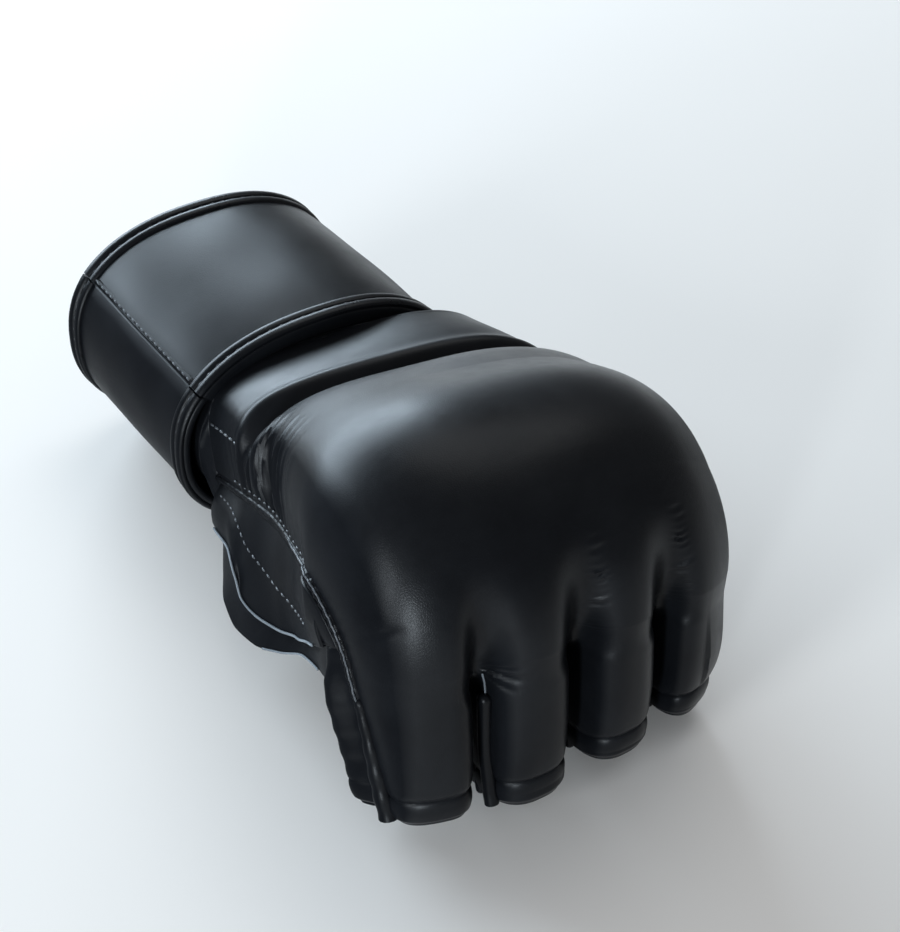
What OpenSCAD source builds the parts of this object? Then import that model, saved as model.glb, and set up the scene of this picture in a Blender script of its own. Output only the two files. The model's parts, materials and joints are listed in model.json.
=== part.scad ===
// MMA glove for the left hand, shaped to a loose fist and lying on its cuff and finger ends.
// Hand frame: +X to the thumb, +Y to the knuckles, +Z to the back of the hand, millimetres.
// Every panel is a slab between two nested surfaces of one form, so that layers never cross.

/* [Back of the hand] */
// Length from the wrist to the knuckle bend
back_len = 76; // [66:1:90]
// Radius of the side seam round the knuckle bend
bend_r = 16.5; // [15.5:0.5:22]
// Length of the seam line below the bend that sets the finger taper
finger_run = 41.5; // [36:0.5:50]
// Drop of the seam line at the wrist
wrist_drop = 5; // [2:0.5:8]
// Half width on the thumb side at the wrist
wrist_half_radial = 44.5; // [42:0.5:48]
// Half width on the little-finger side at the wrist
wrist_half_ulnar = 38; // [34:0.5:42]
// Half width on the thumb side at the groove behind the knuckle pad
groove_half_radial = 45; // [43:0.5:49]
// Half width on the little-finger side at the groove
groove_half_ulnar = 48; // [45:0.5:52]
// Half width on the thumb side at the knuckles
knuckle_half_radial = 51.5; // [49:0.5:55]
// Half width on the little-finger side at the knuckles
knuckle_half_ulnar = 49.5; // [47:0.5:53]
// Half width on the thumb side at the finger ends
end_half_radial = 47.5; // [46:0.5:50]
// How far the little-finger side lies behind the thumb side
skew_back = 10; // [6:0.5:14]
// How far the little-finger side lies below the thumb side
skew_drop = 11.5; // [7:0.5:14]

/* [Padding] */
// Height of the back where it leaves the cuff
edge_h = 28; // [24:0.5:31]
// Height of the ridge roll behind the groove
ridge_h = 25.4; // [23:0.1:28]
// Height of the ridge roll's foot, in the groove
groove_h = 17; // [16.5:0.1:20]
// Height of the knuckle pad's back edge, over the groove
dome_edge_h = 21.3; // [19:0.1:24]
// Height at the back of the knuckle pad
dome_h = 31.6; // [27:0.1:36]
// Height over the knuckles
knuckle_h = 35.4; // [31:0.1:40]
// Height in front of the fingers
finger_h = 25.8; // [23:0.1:29]
// Height at the finger ends
end_h = 15.3; // [13:0.1:18]
// Height of the hand space at the wrist
space_wrist = 13; // [11:0.5:15]
// Height of the hand space at the knuckles
space_knuckle = 17.5; // [14:0.5:20]
// Height of the finger space at the finger roots
space_finger = 11; // [9:0.5:13]
// Height of the finger space at the finger ends
space_end = 6; // [5:0.5:8]
// Depth of the groove where two fingers part, as a share of the height there
flute = 0.4; // [0.2:0.02:0.5]

/* [Palm] */
// Depth of the palm at the wrist
palm_wrist = 24; // [20:0.5:28]
// Depth of the palm at its middle
palm_mid = 20; // [17:0.5:23]
// Depth of the palm inside the knuckle bend
palm_bend = 11; // [9:0.5:12]
// Depth behind the finger ends
palm_end = 14.5; // [12:0.5:17]
// Extra depth at the ball of the thumb
thenar_h = 10; // [0:0.5:14]
// Length of the palm hole
palm_hole_len = 56; // [46:1:60]
// Width of the palm hole
palm_hole_w = 30; // [24:1:32]
// Length of the thumb hole
thumb_hole_len = 68; // [58:1:72]
// Width of the thumb hole
thumb_hole_w = 54; // [46:1:58]
// Width of the band round the thumb hole
thumb_band_w = 11.5; // [8:0.5:13]
// Length of the grip bar across the finger roots
grip_len = 56; // [40:1:64]
// Width of the grip bar
grip_w = 8; // [5:0.5:9]
// Height of the grip bar
grip_h = 2.6; // [1.5:0.1:4]

/* [Fingers] */
// Width of the index finger sleeve
index_w = 20.5; // [18.5:0.5:22.5]
// Width of the middle finger sleeve
middle_w = 25.5; // [23:0.5:27.5]
// Width of the ring finger sleeve
ring_w = 24; // [22:0.5:26]
// Width of the little finger sleeve
little_w = 22; // [20:0.5:24]
// Length of the index finger sleeve below the bend
index_len = 42; // [38:0.5:46]
// Length of the middle finger sleeve below the bend
middle_len = 45; // [41:0.5:49]
// Length of the ring finger sleeve below the bend
ring_len = 44; // [40:0.5:48]
// Length of the little finger sleeve below the bend
little_len = 43.5; // [39:0.5:47]
// Share of its width that a finger sleeve loses between its root and its end
finger_taper = 0.16; // [0:0.02:0.24]
// How far the index finger's loop swells out on the thumb side
loop_swell = 3.5; // [0:0.5:5]
// How far the little-finger side draws in at the end
end_draw = 3.5; // [0:0.5:5]
// Distance of the finger crotches below the bend
crotch_drop = 4.5; // [3:0.5:8]
// Height of the hem at each finger end
hem_h = 7; // [5:0.5:9]

/* [Cuff] */
// Length of the cuff
cuff_len = 67; // [55:1:80]
// Half width of the cuff at the hand
cuff_half_w = 40.5; // [38:0.5:44]
// Half height of the cuff at the hand
cuff_half_h = 27.5; // [25.5:0.5:31]
// Half width of the cuff at its rim
rim_half_w = 39; // [36.5:0.5:43]
// Half height of the cuff at its rim
rim_half_h = 28; // [25.5:0.5:31]
// Upward pitch of the cuff from the back of the hand
cuff_pitch = 16; // [12:0.5:20]
// Turn of the cuff towards the little-finger side
cuff_yaw = 6.5; // [3:0.5:9]
// Angle round the cuff of the seam that carries the strap
strap_seam = 35; // [28:1:42]
// Angle round the cuff of the strap's bend at the palm
strap_bend = -50; // [-58:1:-44]
// Angle round the cuff of the strap's free end
strap_end = -148; // [-152:1:-130]
// How far the cuff's rim stands out behind the strap's free end
strap_setback = 4.5; // [2:0.5:8]
// Width of the hook patch
hook_w = 21; // [14:1:26]

/* [Layers] */
// Thickness of the leather
leather_t = 1.3; // [0.9:0.1:1.5]
// Thickness of the lining
lining_t = 0.8; // [0.5:0.1:0.9]
// Thickness of the strap
strap_t = 2; // [1.5:0.1:2.2]
// Thickness of the hook patch and of the loop patch
patch_t = 0.8; // [0.5:0.1:0.9]
// Thickness of the foam in the cuff
cuff_foam_t = 2.6; // [1.8:0.1:3]
// Thickness of the foam at the sides of the hand
side_foam_t = 3; // [2:0.1:3.6]
// Width of the bindings on the cuff and the strap
binding_w = 6; // [4:0.5:8]
// Thickness of the bindings
binding_t = 1; // [0.7:0.1:1.2]
// Radius of the side welts
welt_r = 1.5; // [1.1:0.1:1.6]
// Radius of the welts on the fingers
finger_welt_r = 1.1; // [0.8:0.1:1.2]
// Clearance between layers
layer_gap = 0.3; // [0.3:0.05:0.35]
// Clearance between fingers, and at the finger roots
finger_gap = 1; // [0.8:0.1:1.4]

/* [Hidden] */

leather_black = "#1c1e22";
binding_black = "#141518";
foam_grey = "#4a4d52";
lining_grey = "#2e3136";
patch_black = "#26282b";

// Exponents of the cross-sections
across_n = 2.9;
corner_n = 4.2;
palm_n = 3.2;
finger_back_n = 14;
finger_n = 2.6;
cuff_n = 2.3;
skew_n = 1.5;

// The layers' edges end this far from the side seam, to leave room for the welt
seam_gap = welt_r + layer_gap;
finger_seam_gap = finger_welt_r + layer_gap;

// Stations along the hand: 0 wrist, 1 and 2 the ends of the knuckle bend, 3 the finger ends
ridge_at = 0.28;
groove_at = 0.39;
groove_slit = layer_gap / 2 / back_len;
ridge_end = groove_at - 2 * groove_slit;
dome_at = 0.70;
knuckle_at = 1.3;
finger_at = 2.2;
flute_at = 1.62;
valley_w = 0.45;
sleeve_open = 6;
crotch_at = 2 + crotch_drop / finger_run;
end_half_ulnar = index_w + middle_w + ring_w + little_w - end_half_radial - end_draw;
radial_stations = [[0, wrist_half_radial], [0.5, groove_half_radial], [1.2, knuckle_half_radial],
    [3, end_half_radial]];
ulnar_stations = [[0, wrist_half_ulnar], [0.5, groove_half_ulnar], [1.2, knuckle_half_ulnar],
    [3, end_half_ulnar]];
crown_stations = [[0, edge_h], [ridge_at, ridge_h], [ridge_end, groove_h], [groove_at, dome_edge_h],
    [dome_at, dome_h], [knuckle_at, knuckle_h], [finger_at, finger_h], [3, end_h]];
space_stations = [[0, space_wrist], [groove_at, space_wrist], [knuckle_at, space_knuckle],
    [finger_at, space_finger], [3, space_end]];
palm_ease = 1.5;
palm_stations = [[0, palm_wrist], [0.5, palm_mid], [1, palm_bend + palm_ease], [1.5, palm_bend],
    [finger_at, palm_bend], [3, palm_end]];

// Fingers from the index to the little one: centre, half widths towards thumb and little finger, end
finger_w = [index_w, middle_w, ring_w, little_w];
finger_len = [index_len, middle_len, ring_len, little_len];
function finger_edge(i) = i == 0 ? end_half_radial : finger_edge(i - 1) - finger_w[i - 1];
function finger_x(i) = finger_edge(i) - finger_w[i] / 2;
function finger_end(i) = 2 + finger_len[i] / finger_run;
function hem_at(i) = finger_end(i) - hem_h / finger_run;

function clamp(x, lo, hi) = min(hi, max(lo, x));
function mix(a, b, t) = a + (b - a) * t;
function signed_pow(x, e) = sign(x) * pow(abs(x), e);
function ease(x) = let(t = clamp(x, 0, 1)) t * t * (3 - 2 * t);
function steps(a, b, n) = [for (i = [0 : n]) mix(a, b, i / n)];

// Smooth curve through stations [x, y] that never overshoots them
function chord(P, i) = (P[i + 1].y - P[i].y) / (P[i + 1].x - P[i].x);
function slope(P, i) = i == 0 ? chord(P, 0) : i == len(P) - 1 ? chord(P, i - 1)
    : let(a = chord(P, i - 1), b = chord(P, i)) a * b <= 0 ? 0 : 2 * a * b / (a + b);
function span(P, x, i = 0) = i >= len(P) - 2 || x < P[i + 1].x ? i : span(P, x, i + 1);
function through(P, x) = let(i = span(P, x), w = P[i + 1].x - P[i].x, t = clamp((x - P[i].x) / w, 0, 1))
    P[i].y * (1 + 2 * t) * (1 - t) * (1 - t) + slope(P, i) * w * t * (1 - t) * (1 - t)
    + P[i + 1].y * t * t * (3 - 2 * t) + slope(P, i + 1) * w * t * t * (t - 1);

// Form of the hand
function half_w(side, v) = side > 0 ? through(radial_stations, v) : through(ulnar_stations, v);
function crown(v) = through(crown_stations, v);
function space(v) = through(space_stations, v);
function lean(v) = 90 * clamp(v - 1, 0, 1);
function seam_y(v) = v < 1 ? v * back_len : back_len + bend_r * sin(lean(v));
function seam_z(v) = v < 1 ? finger_run + bend_r - wrist_drop * pow(1 - v, 1.5)
    : v < 2 ? finger_run + bend_r * cos(lean(v)) : finger_run * (3 - v);

// Point x across the hand and h above its seam line at station v
function place(x, h, v) =
    let(r = half_w(1, v), f = pow(clamp((r - x) / (r + half_w(-1, v)), 0, 1), skew_n))
    [x, seam_y(v) + h * sin(lean(v)) - skew_back * f * clamp(v / 1.5, 0, 1),
     seam_z(v) + h * cos(lean(v)) - skew_drop * f * clamp(min(v / 0.8, (3 - v) / 1.5), 0, 1)];
// The cross-section is squarer on the thumb side, behind the knuckles
function section_n(side, v) = side > 0 ? mix(corner_n, across_n, ease((v - 0.35) / 0.8)) : across_n;
function arch(k, v) = let(n = section_n(k, v)) pow(max(0, 1 - pow(abs(k), n)), 1 / n);
function finger_arch(u) = pow(max(0, 1 - pow(abs(u), finger_n)), 1 / finger_n);

// Grooves between fingers: soft valleys over the knuckles that open to separate sleeves below the crotch
function groove_depth(v) = flute * ease((v - flute_at) / (crotch_at - flute_at));
function sleeve_share(v) = ease((v - crotch_at) * finger_run / sleeve_open);
function valley(u) = exp(-pow((1 - abs(u)) / valley_w, 2));
function finger_side(i, side, v) = side > 0 && i == 0 ? half_w(1, v) - finger_x(i)
    : side < 0 && i == 3 ? finger_x(i) + half_w(-1, v)
    : finger_w[i] / 2 * (1 - finger_taper * ease((v - crotch_at) / (3 - crotch_at)));
function outer_side(i, u) = (i == 0 && u > 0) || (i == 3 && u < 0);
function fluted(i, u, v) = outer_side(i, u) ? 1
    : mix(1 - groove_depth(v) * valley(u), finger_arch(u), sleeve_share(v));

// Back of the hand at fraction k across: a surface of the given rise, set in from the sides
function back_at(k, v, rise, inset) =
    place(k * (half_w(k, v) - inset), seam_gap + (rise - seam_gap) * arch(k, v), v);
// The same with the grooves between fingers, over finger i at fraction u of its width
function fluted_at(i, u, v, inset, gap) =
    let(x = finger_x(i) + u * (finger_side(i, u, v) - (outer_side(i, u) ? inset : inset + gap)),
        k = x / (half_w(x, v) - inset), g = gap > 0 ? finger_seam_gap : seam_gap)
    place(x, g + (crown(v) - inset - g) * arch(k, v) * fluted(i, u, v), v);

// Palm side at x across, raised by o from the form (towards the floor)
function palm_depth(x, v) = through(palm_stations, v)
    + thenar_h * exp(-pow((v - 0.3) / 0.35, 2)) * ease((x + 10) / 35);
function palm_at(x, v, o) =
    let(w = half_w(x, v) + o, square = x > 0 ? ease((v - 0.75) / 0.5) : ease((v - 1.2) / 0.8),
        n = mix(palm_n, finger_back_n, square))
    place(x, -seam_gap - (palm_depth(x, v) + o - seam_gap) * pow(max(0, 1 - pow(abs(x / w), n)), 1 / n), v);

// Whole ring at angle a from the crown, positive to the thumb
function ring_at(a, v, inset) =
    let(side = sin(a), n = section_n(side, v), x = signed_pow(side, 2 / n) * (half_w(side, v) - inset),
        up = cos(a) > 0, h = (up ? crown(v) : palm_depth(x, v)) - inset - seam_gap)
    place(x, (up ? 1 : -1) * (seam_gap + h * pow(abs(cos(a)), 2 / n)), v);

// Cuff at angle th from the thumb side towards the back, share s of its length, set in by o
cuff_centre = [11, -7, finger_run + bend_r + 1];
function cuff_at(th, s, o) =
    let(x = signed_pow(cos(th), 2 / cuff_n) * (mix(cuff_half_w, rim_half_w, s) - o), y = -cuff_len * s,
        z = signed_pow(sin(th), 2 / cuff_n) * (mix(cuff_half_h, rim_half_h, s) - o),
        y1 = y * cos(cuff_pitch) + z * sin(cuff_pitch), z1 = z * cos(cuff_pitch) - y * sin(cuff_pitch))
    cuff_centre + [x * cos(cuff_yaw) - y1 * sin(cuff_yaw), x * sin(cuff_yaw) + y1 * cos(cuff_yaw), z1];

// Layers of the cuff, as insets from its outer face
panel_in = leather_t;
hook_out = strap_t + layer_gap;
loop_out = hook_out + patch_t + layer_gap;
sleeve_out = loop_out + patch_t + layer_gap;
sleeve_in = sleeve_out + leather_t;
cuff_foam_out = sleeve_in + layer_gap;
cuff_foam_in = cuff_foam_out + cuff_foam_t;
cuff_lining_out = cuff_foam_in + layer_gap;
cuff_lining_in = cuff_lining_out + lining_t;
// Rear edge of the strap at angle th: flush with the rim at its seam, set back at its free end
function strap_share(th) = clamp((strap_seam - th) / (strap_seam - strap_end), 0, 1);
function strap_rear(th) = 1 - strap_setback / cuff_len * strap_share(th);
binding_s = binding_w / cuff_len;
binding_out = -layer_gap - binding_t;
seam_half = 0.5;
strap_top = strap_seam - seam_half;
side_low = strap_bend + seam_half;
tip_top = strap_bend - seam_half;

// Triangles of a grid of n rows by m columns, starting at point number first
function grid_faces(n, m, first, flip, wrap) = [for (i = [0 : n - 2], j = [0 : wrap ? m - 1 : m - 2])
    let(k = (j + 1) % m, a = first + i * m + j, b = first + i * m + k, c = b + m, d = a + m)
    each flip ? [[a, c, b], [a, d, c]] : [[a, b, c], [a, c, d]]];
// Wall between a loop of point numbers and the same loop, far points later
function wall_faces(loop, far) = [for (i = [0 : len(loop) - 1])
    let(a = loop[i], b = loop[(i + 1) % len(loop)]) each [[b, a, a + far], [b, a + far, b + far]]];
function rim_loop(n, m) = concat([for (j = [0 : m - 2]) j], [for (i = [0 : n - 2]) i * m + m - 1],
    [for (j = [m - 1 : -1 : 1]) (n - 1) * m + j], [for (i = [n - 1 : -1 : 1]) i * m]);
function volume(points, faces) = let(six = [for (f = faces)
    points[f[0]] * cross(points[f[1]], points[f[2]])]) six * [for (s = six) 1] / 6;
function flat(grid) = [for (row = grid) each row];

module solid(points, faces) {
    polyhedron(points, volume(points, faces) < 0 ? faces : [for (f = faces) [f[2], f[1], f[0]]]);
}

// Closed slab between two grids; wrap joins the last column to the first
module slab(outer, inner, wrap = false) {
    n = len(outer);
    m = len(outer[0]);
    rims = wrap
        ? concat(wall_faces([for (j = [0 : m - 1]) j], n * m),
            wall_faces([for (j = [m - 1 : -1 : 0]) (n - 1) * m + j], n * m))
        : wall_faces(rim_loop(n, m), n * m);
    solid(concat(flat(outer), flat(inner)),
        concat(grid_faces(n, m, 0, false, wrap), grid_faces(n, m, n * m, true, wrap), rims));
}

// Round welt of radius r along a path, with a ring of sides square to the path at every point
module welt(path, r, sides = 6) {
    n = len(path);
    rings = [for (i = [0 : n - 1])
        let(d = path[min(n - 1, i + 1)] - path[max(0, i - 1)], t = d / norm(d),
            u = cross(t, [1, 0, 0]) / norm(cross(t, [1, 0, 0])), w = cross(t, u))
        [for (k = [0 : sides - 1]) path[i] + r * (cos(360 * k / sides) * u + sin(360 * k / sides) * w)]];
    ends = [for (k = [1 : sides - 2]) each [[0, k, k + 1],
        [(n - 1) * sides, (n - 1) * sides + k + 1, (n - 1) * sides + k]]];
    solid(flat(rings), concat(grid_faces(n, sides, 0, true, true), ends));
}

module seated() {
    translate(rest_shift) rotate([rest_pitch, 0, 0]) children();
}

// Grids of points for the panels of the hand
edge_cols = [0, 0.32, 0.6, 0.8, 0.93, 1];
half_cols = [0, 0.4, 0.72, 0.91, 1];
soft_edge_cols = [0, 0.45, 0.8, 1];
function reversed(list) = [for (k = [len(list) - 1 : -1 : 0]) list[k]];
function across(first, last) = concat([for (c = reversed(first)) if (c > 0) c], [for (c = last) -c]);
function finger_cols(i) = across(i == 0 ? edge_cols : half_cols, i == 3 ? edge_cols : half_cols);
function soft_cols(i) =
    across(i == 0 ? soft_edge_cols : half_cols, i == 3 ? soft_edge_cols : half_cols);
plain_cols = [-1, -0.97, -0.9, -0.78, -0.6, -0.4, -0.2, 0, 0.2, 0.4, 0.6, 0.78, 0.9, 0.97, 1];
slit = finger_gap / 2 / finger_run;
shell_rows = concat([groove_at + groove_slit, 0.43, 0.48, 0.57, dome_at, 0.9, 1.1],
    steps(knuckle_at, crotch_at - slit, 7));
function shell_grid(inset) = [for (v = shell_rows) [for (i = [0 : 3]) each [for (u = finger_cols(i))
    if (i == 0 || u < 1) fluted_at(i, u, v, inset, 0)]]];
foam_rows = concat([0.43, 0.48, 0.57, dome_at, 0.9, 1.1], steps(knuckle_at, crotch_at - slit, 7));
ridge_rows = [0.02, 0.1, 0.19, ridge_at, 0.32, 0.355, ridge_end];
lining_rows = concat([0.02, ridge_at, ridge_end], foam_rows);
foam_out = leather_t + layer_gap;
lining_side = foam_out + side_foam_t + layer_gap;
function soft_row(v, inset) = [for (i = [0 : 3]) each [for (u = soft_cols(i)) if (i == 0 || u < 1)
    fluted_at(i, u, v, inset, 0)]];
// Surface of the hand space, raised by extra towards the padding
function space_row(v, extra) = [for (i = [0 : 3]) each [for (u = soft_cols(i)) if (i == 0 || u < 1)
    let(x = finger_x(i) + u * finger_side(i, u, v), k = x / half_w(x, v))
    back_at(k, v, space(v) + extra, lining_side + lining_t - extra)]];

module knuckle_shell() {
    color(leather_black) seated() slab(shell_grid(0), shell_grid(leather_t));
}

module knuckle_foam() {
    color(foam_grey) seated() slab([for (v = foam_rows) soft_row(v, foam_out)],
        [for (v = foam_rows) space_row(v, lining_t + layer_gap)]);
}

module back_lining() {
    color(lining_grey) seated() slab([for (v = lining_rows) space_row(v, lining_t)],
        [for (v = lining_rows) space_row(v, 0)]);
}

module ridge_cover() {
    color(leather_black) seated() slab(
        [for (v = ridge_rows) [for (k = plain_cols) back_at(k, v, crown(v), 0)]],
        [for (v = ridge_rows) [for (k = plain_cols) back_at(k, v, crown(v) - leather_t, leather_t)]]);
}

module ridge_foam() {
    color(foam_grey) seated() slab([for (v = ridge_rows) soft_row(v, foam_out)],
        [for (v = ridge_rows) space_row(v, lining_t + layer_gap)]);
}

// Welt along one side seam of the hand, from the wrist to the finger roots
seam_tuck = 0.3;
welt_stations = concat(steps(0.03, 1, 8), steps(1.15, crotch_at - 2 * slit, 6));
function welt_path(side) = [for (v = welt_stations) place(side * (half_w(side, v) - seam_tuck), 0, v)];

module radial_welt() {
    color(binding_black) seated() welt(welt_path(1), welt_r);
}

module ulnar_welt() {
    color(binding_black) seated() welt(welt_path(-1), welt_r);
}

// Leather between the cuff and the hand, all the way round
gusset_end = 0.015;
module wrist_gusset() {
    angles = [for (a = [0 : 12 : 348]) a];
    function row(t, inset) = [for (a = angles)
        mix(cuff_at(90 - a, -layer_gap / cuff_len, sleeve_out + inset), ring_at(a, gusset_end, inset), t)];
    color(leather_black) seated() slab([for (t = [0, 0.5, 1]) row(t, 0)],
        [for (t = [0, 0.5, 1]) row(t, leather_t)], true);
}

// Palm pieces: places are [across, distance from the wrist]; the leather lies just outside the finger loops
palm_in = layer_gap;
palm_out = layer_gap + leather_t;
band_in = palm_out + layer_gap;
band_out = band_in + leather_t;
palm_hole = [-26.5, 43];
palm_hole_slant = 0.1;
frame_centre = [-28.5, 38.5];
frame_n = 6;
hole_n = 2.6;
thumb_hole = [22, 34];
frame_edge = 1.5;
frame_half = [thumb_hole.x - thumb_hole_w / 2 - frame_edge - frame_centre.x, 36.5];
thumb_n = 2.2;
band_from = 62;
band_to = 235;
function oval(centre, half, a, n) =
    centre + [half.x * signed_pow(cos(a), 2 / n), half.y * signed_pow(sin(a), 2 / n)];
function palm_xq(p, o) = palm_at(p.x, p.y / back_len, o);

module palm_frame() {
    angles = [for (a = [0 : 12 : 348]) a];
    function edge_hole(a) = let(p = oval(palm_hole, [palm_hole_w / 2, palm_hole_len / 2], a, hole_n))
        [p.x + palm_hole_slant * (p.y - palm_hole.y), p.y];
    function edge_out(a) = let(p = oval(frame_centre, frame_half, a, frame_n),
        side = -half_w(-1, p.y / back_len), share = (p.x - frame_centre.x) / frame_half.x)
        [share > 0 ? p.x : mix(frame_centre.x, side, -share), p.y];
    function row(t, o) = [for (a = angles) palm_xq(mix(edge_hole(a), edge_out(a), t), o)];
    color(leather_black) seated() slab([for (t = [0, 0.5, 1]) row(t, palm_out)],
        [for (t = [0, 0.5, 1]) row(t, palm_in)], true);
}

panel_start = 1 + 0.5 * layer_gap / back_len;
panel_end = 2.45;
panel_tuck = 0.82;
panel_rows = concat([panel_start], steps(1.12, 2, 8), steps(2.09, panel_end, 4));
function panel_grid(o) = [for (v = panel_rows) [for (k = plain_cols)
    palm_at(k * (half_w(k, v) + o) * mix(1, panel_tuck, ease((v - 1.9) / 0.2)), v, o)]];
module palm_panel() {
    color(leather_black) seated() slab(panel_grid(palm_out), panel_grid(palm_in));
}

grip_x = -5.5;
grip_at = 2.28;
grip_edge = 0.4;
module grip_bar() {
    half = grip_w / 2 / finger_run;
    cols = steps(-1, 1, 12);
    rows = steps(-1, 1, 6);
    function swell(c, r) = grip_h * sqrt(max(0, 1 - pow(c, 8))) * sqrt(max(0, 1 - r * r * 0.9));
    color(leather_black) seated() slab(
        [for (r = rows) [for (c = cols)
            palm_at(grip_x + c * grip_len / 2, grip_at + r * half, band_in + grip_edge + swell(c, r))]],
        [for (r = rows) [for (c = cols) palm_at(grip_x + c * grip_len / 2, grip_at + r * half, band_in)]]);
}

// Band round the palm side of the thumb hole, over the palm leather, from the knuckle side to the cuff
module thumb_band() {
    angles = steps(band_from, band_to, 20);
    half = [thumb_hole_w / 2, thumb_hole_len / 2];
    function row(t, o) = [for (a = angles)
        palm_xq(oval(thumb_hole, half + t * thumb_band_w * [1, 1], a, thumb_n), o)];
    color(leather_black) seated() slab([for (t = [0, 0.5, 1]) row(t, band_out)],
        [for (t = [0, 0.5, 1]) row(t, band_in)]);
}

// Flap at the base of the thumb: hangs from the side welt, two plies with free edges
flap_bulge = 2.5;
flap_top = [0.05, 0.16, 0.27, 0.38, 0.49, 0.60, 0.71, 0.85, 0.985];
flap_edge = [[49, 4, 43], [51.5, 22, 43], [53, 29, 39], [53, 31, 34], [52, 40, 31],
    [50.5, 48, 30.5], [48.5, 55, 31], [49, 63, 34.5], [50, 71.5, 43]];
lining_edge = [[48.5, 4, 40], [51.5, 12, 33], [54, 19, 28], [55, 27, 25], [54, 37, 25],
    [52, 48, 26], [50, 58, 28], [50.5, 66, 31.5], [51, 74.5, 40]];
function flap_row(i, depth) =
    let(v = flap_top[i], top = place(half_w(1, v) - seam_tuck, -seam_gap - layer_gap, v))
    [for (t = steps(0, 1, 4)) mix(top, flap_edge[i], t) + [flap_bulge * sin(180 * t) - depth, 0, 0]];
function flap_grid(depth) = [for (i = [0 : len(flap_top) - 1]) flap_row(i, depth)];
function flap_lining_grid(depth) = [for (i = [0 : len(flap_top) - 1]) concat(flap_row(i, depth),
    [lining_edge[i] - [depth, 0, 0]])];

module thumb_flap() {
    color(leather_black) seated() slab(flap_grid(0), flap_grid(leather_t));
}

module thumb_flap_lining() {
    color(lining_grey) seated() slab(flap_lining_grid(leather_t + layer_gap),
        flap_lining_grid(2 * leather_t + layer_gap));
}

// Cuff: closed layers, then the outer panel on the back of the wrist
module cuff_layer(out, in) {
    angles = [for (a = [0 : 10 : 350]) a];
    seated() slab([for (s = [0, 0.5, 1]) [for (a = angles) cuff_at(a, s, out)]],
        [for (s = [0, 0.5, 1]) [for (a = angles) cuff_at(a, s, in)]], true);
}

// Patch on the cuff from angle a to angle b, lengths s, insets out to in
module cuff_patch(a, b, s, out, in, n) {
    seated() slab([for (q = s) [for (th = steps(a, b, n)) cuff_at(th, q, out)]],
        [for (q = s) [for (th = steps(a, b, n)) cuff_at(th, q, in)]]);
}

module cuff_sleeve() {
    color(leather_black) cuff_layer(sleeve_out, sleeve_in);
}

module cuff_foam() {
    color(foam_grey) cuff_layer(cuff_foam_out, cuff_foam_in);
}

module cuff_lining() {
    color(lining_grey) cuff_layer(cuff_lining_out, cuff_lining_in);
}

panel_cols = 22;
panel_top = strap_seam + seam_half;
panel_gap_angle = 3;
panel_low = 360 + strap_end - panel_gap_angle;
module cuff_panel() {
    color(leather_black) cuff_patch(panel_top, panel_low, [0, 0.35, 0.7, 1], 0, panel_in, panel_cols);
}

module cuff_panel_pad() {
    color(foam_grey) cuff_patch(panel_top, panel_low, [0.02, 0.5, 0.98], panel_in + layer_gap,
        sleeve_out - layer_gap, panel_cols);
}

module cuff_binding_front() {
    color(binding_black)
        cuff_patch(panel_top, panel_low, [0, binding_s], binding_out, -layer_gap, panel_cols);
}

function rear_band_grid(o) = [for (s = [1 - binding_s, 1])
    [for (th = steps(panel_top, panel_low, panel_cols)) cuff_at(th, s, o)]];
module cuff_binding_rear() {
    color(binding_black) seated() slab(rear_band_grid(binding_out), rear_band_grid(-layer_gap));
}

// Stitched strip that holds the strap's root
anchor_angle = 5;
module strap_anchor() {
    clear = binding_s + layer_gap / cuff_len;
    color(leather_black) cuff_patch(panel_top + seam_half, panel_top + anchor_angle, [clear, 1 - clear],
        binding_out, -layer_gap, 2);
}

// Hook-and-loop patches, as shares of the cuff's length and angles round it
loop_s = [0.12, 0.5, 0.8];
loop_from = tip_top - 12;
loop_to = strap_end + 4;
module loop_patch() {
    color(patch_black) cuff_patch(loop_from, loop_to, loop_s, loop_out, loop_out + patch_t, 12);
}

// Strap: a side piece on the seam and a tip that closes over the palm
side_cols = 10;
tip_cols = 12;
root_angle = 6;
// Lengths on the strap as [share of the cuff, share of the strap's own width]
strap_q = [[0, 0], [0, 0.5], [0, 1]];
front_q = [[0, 0], [binding_s, 0]];
rear_q = [[-binding_s, 1], [0, 1]];
function strap_at(th, q, o) = cuff_at(th, q[0] + q[1] * strap_rear(th), o);
module strap_patch(a, b, lengths, out, in, n) {
    seated() slab([for (q = lengths) [for (th = steps(a, b, n)) strap_at(th, q, out)]],
        [for (q = lengths) [for (th = steps(a, b, n)) strap_at(th, q, in)]]);
}
module strap_side() {
    color(leather_black) strap_patch(strap_top, side_low, strap_q, 0, strap_t, side_cols);
}

module strap_side_binding() {
    color(binding_black) {
        for (q = [front_q, rear_q])
            strap_patch(strap_top - root_angle, side_low + root_angle, q, binding_out, -layer_gap,
                side_cols);
    }
}

module strap_tip() {
    color(leather_black) strap_patch(tip_top, strap_end, strap_q, 0, strap_t, tip_cols);
}

module strap_tip_binding() {
    color(binding_black) {
        for (q = [front_q, rear_q])
            strap_patch(tip_top - root_angle, strap_end, q, binding_out, -layer_gap, tip_cols);
    }
}

hook_mid = -95;
hook_s = [0.14, 0.45, 0.78];
module hook_patch() {
    half = hook_w / cuff_half_w * 90 / PI;
    color(patch_black)
        cuff_patch(hook_mid + half, hook_mid - half, hook_s, hook_out, hook_out + patch_t, 6);
}

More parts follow.
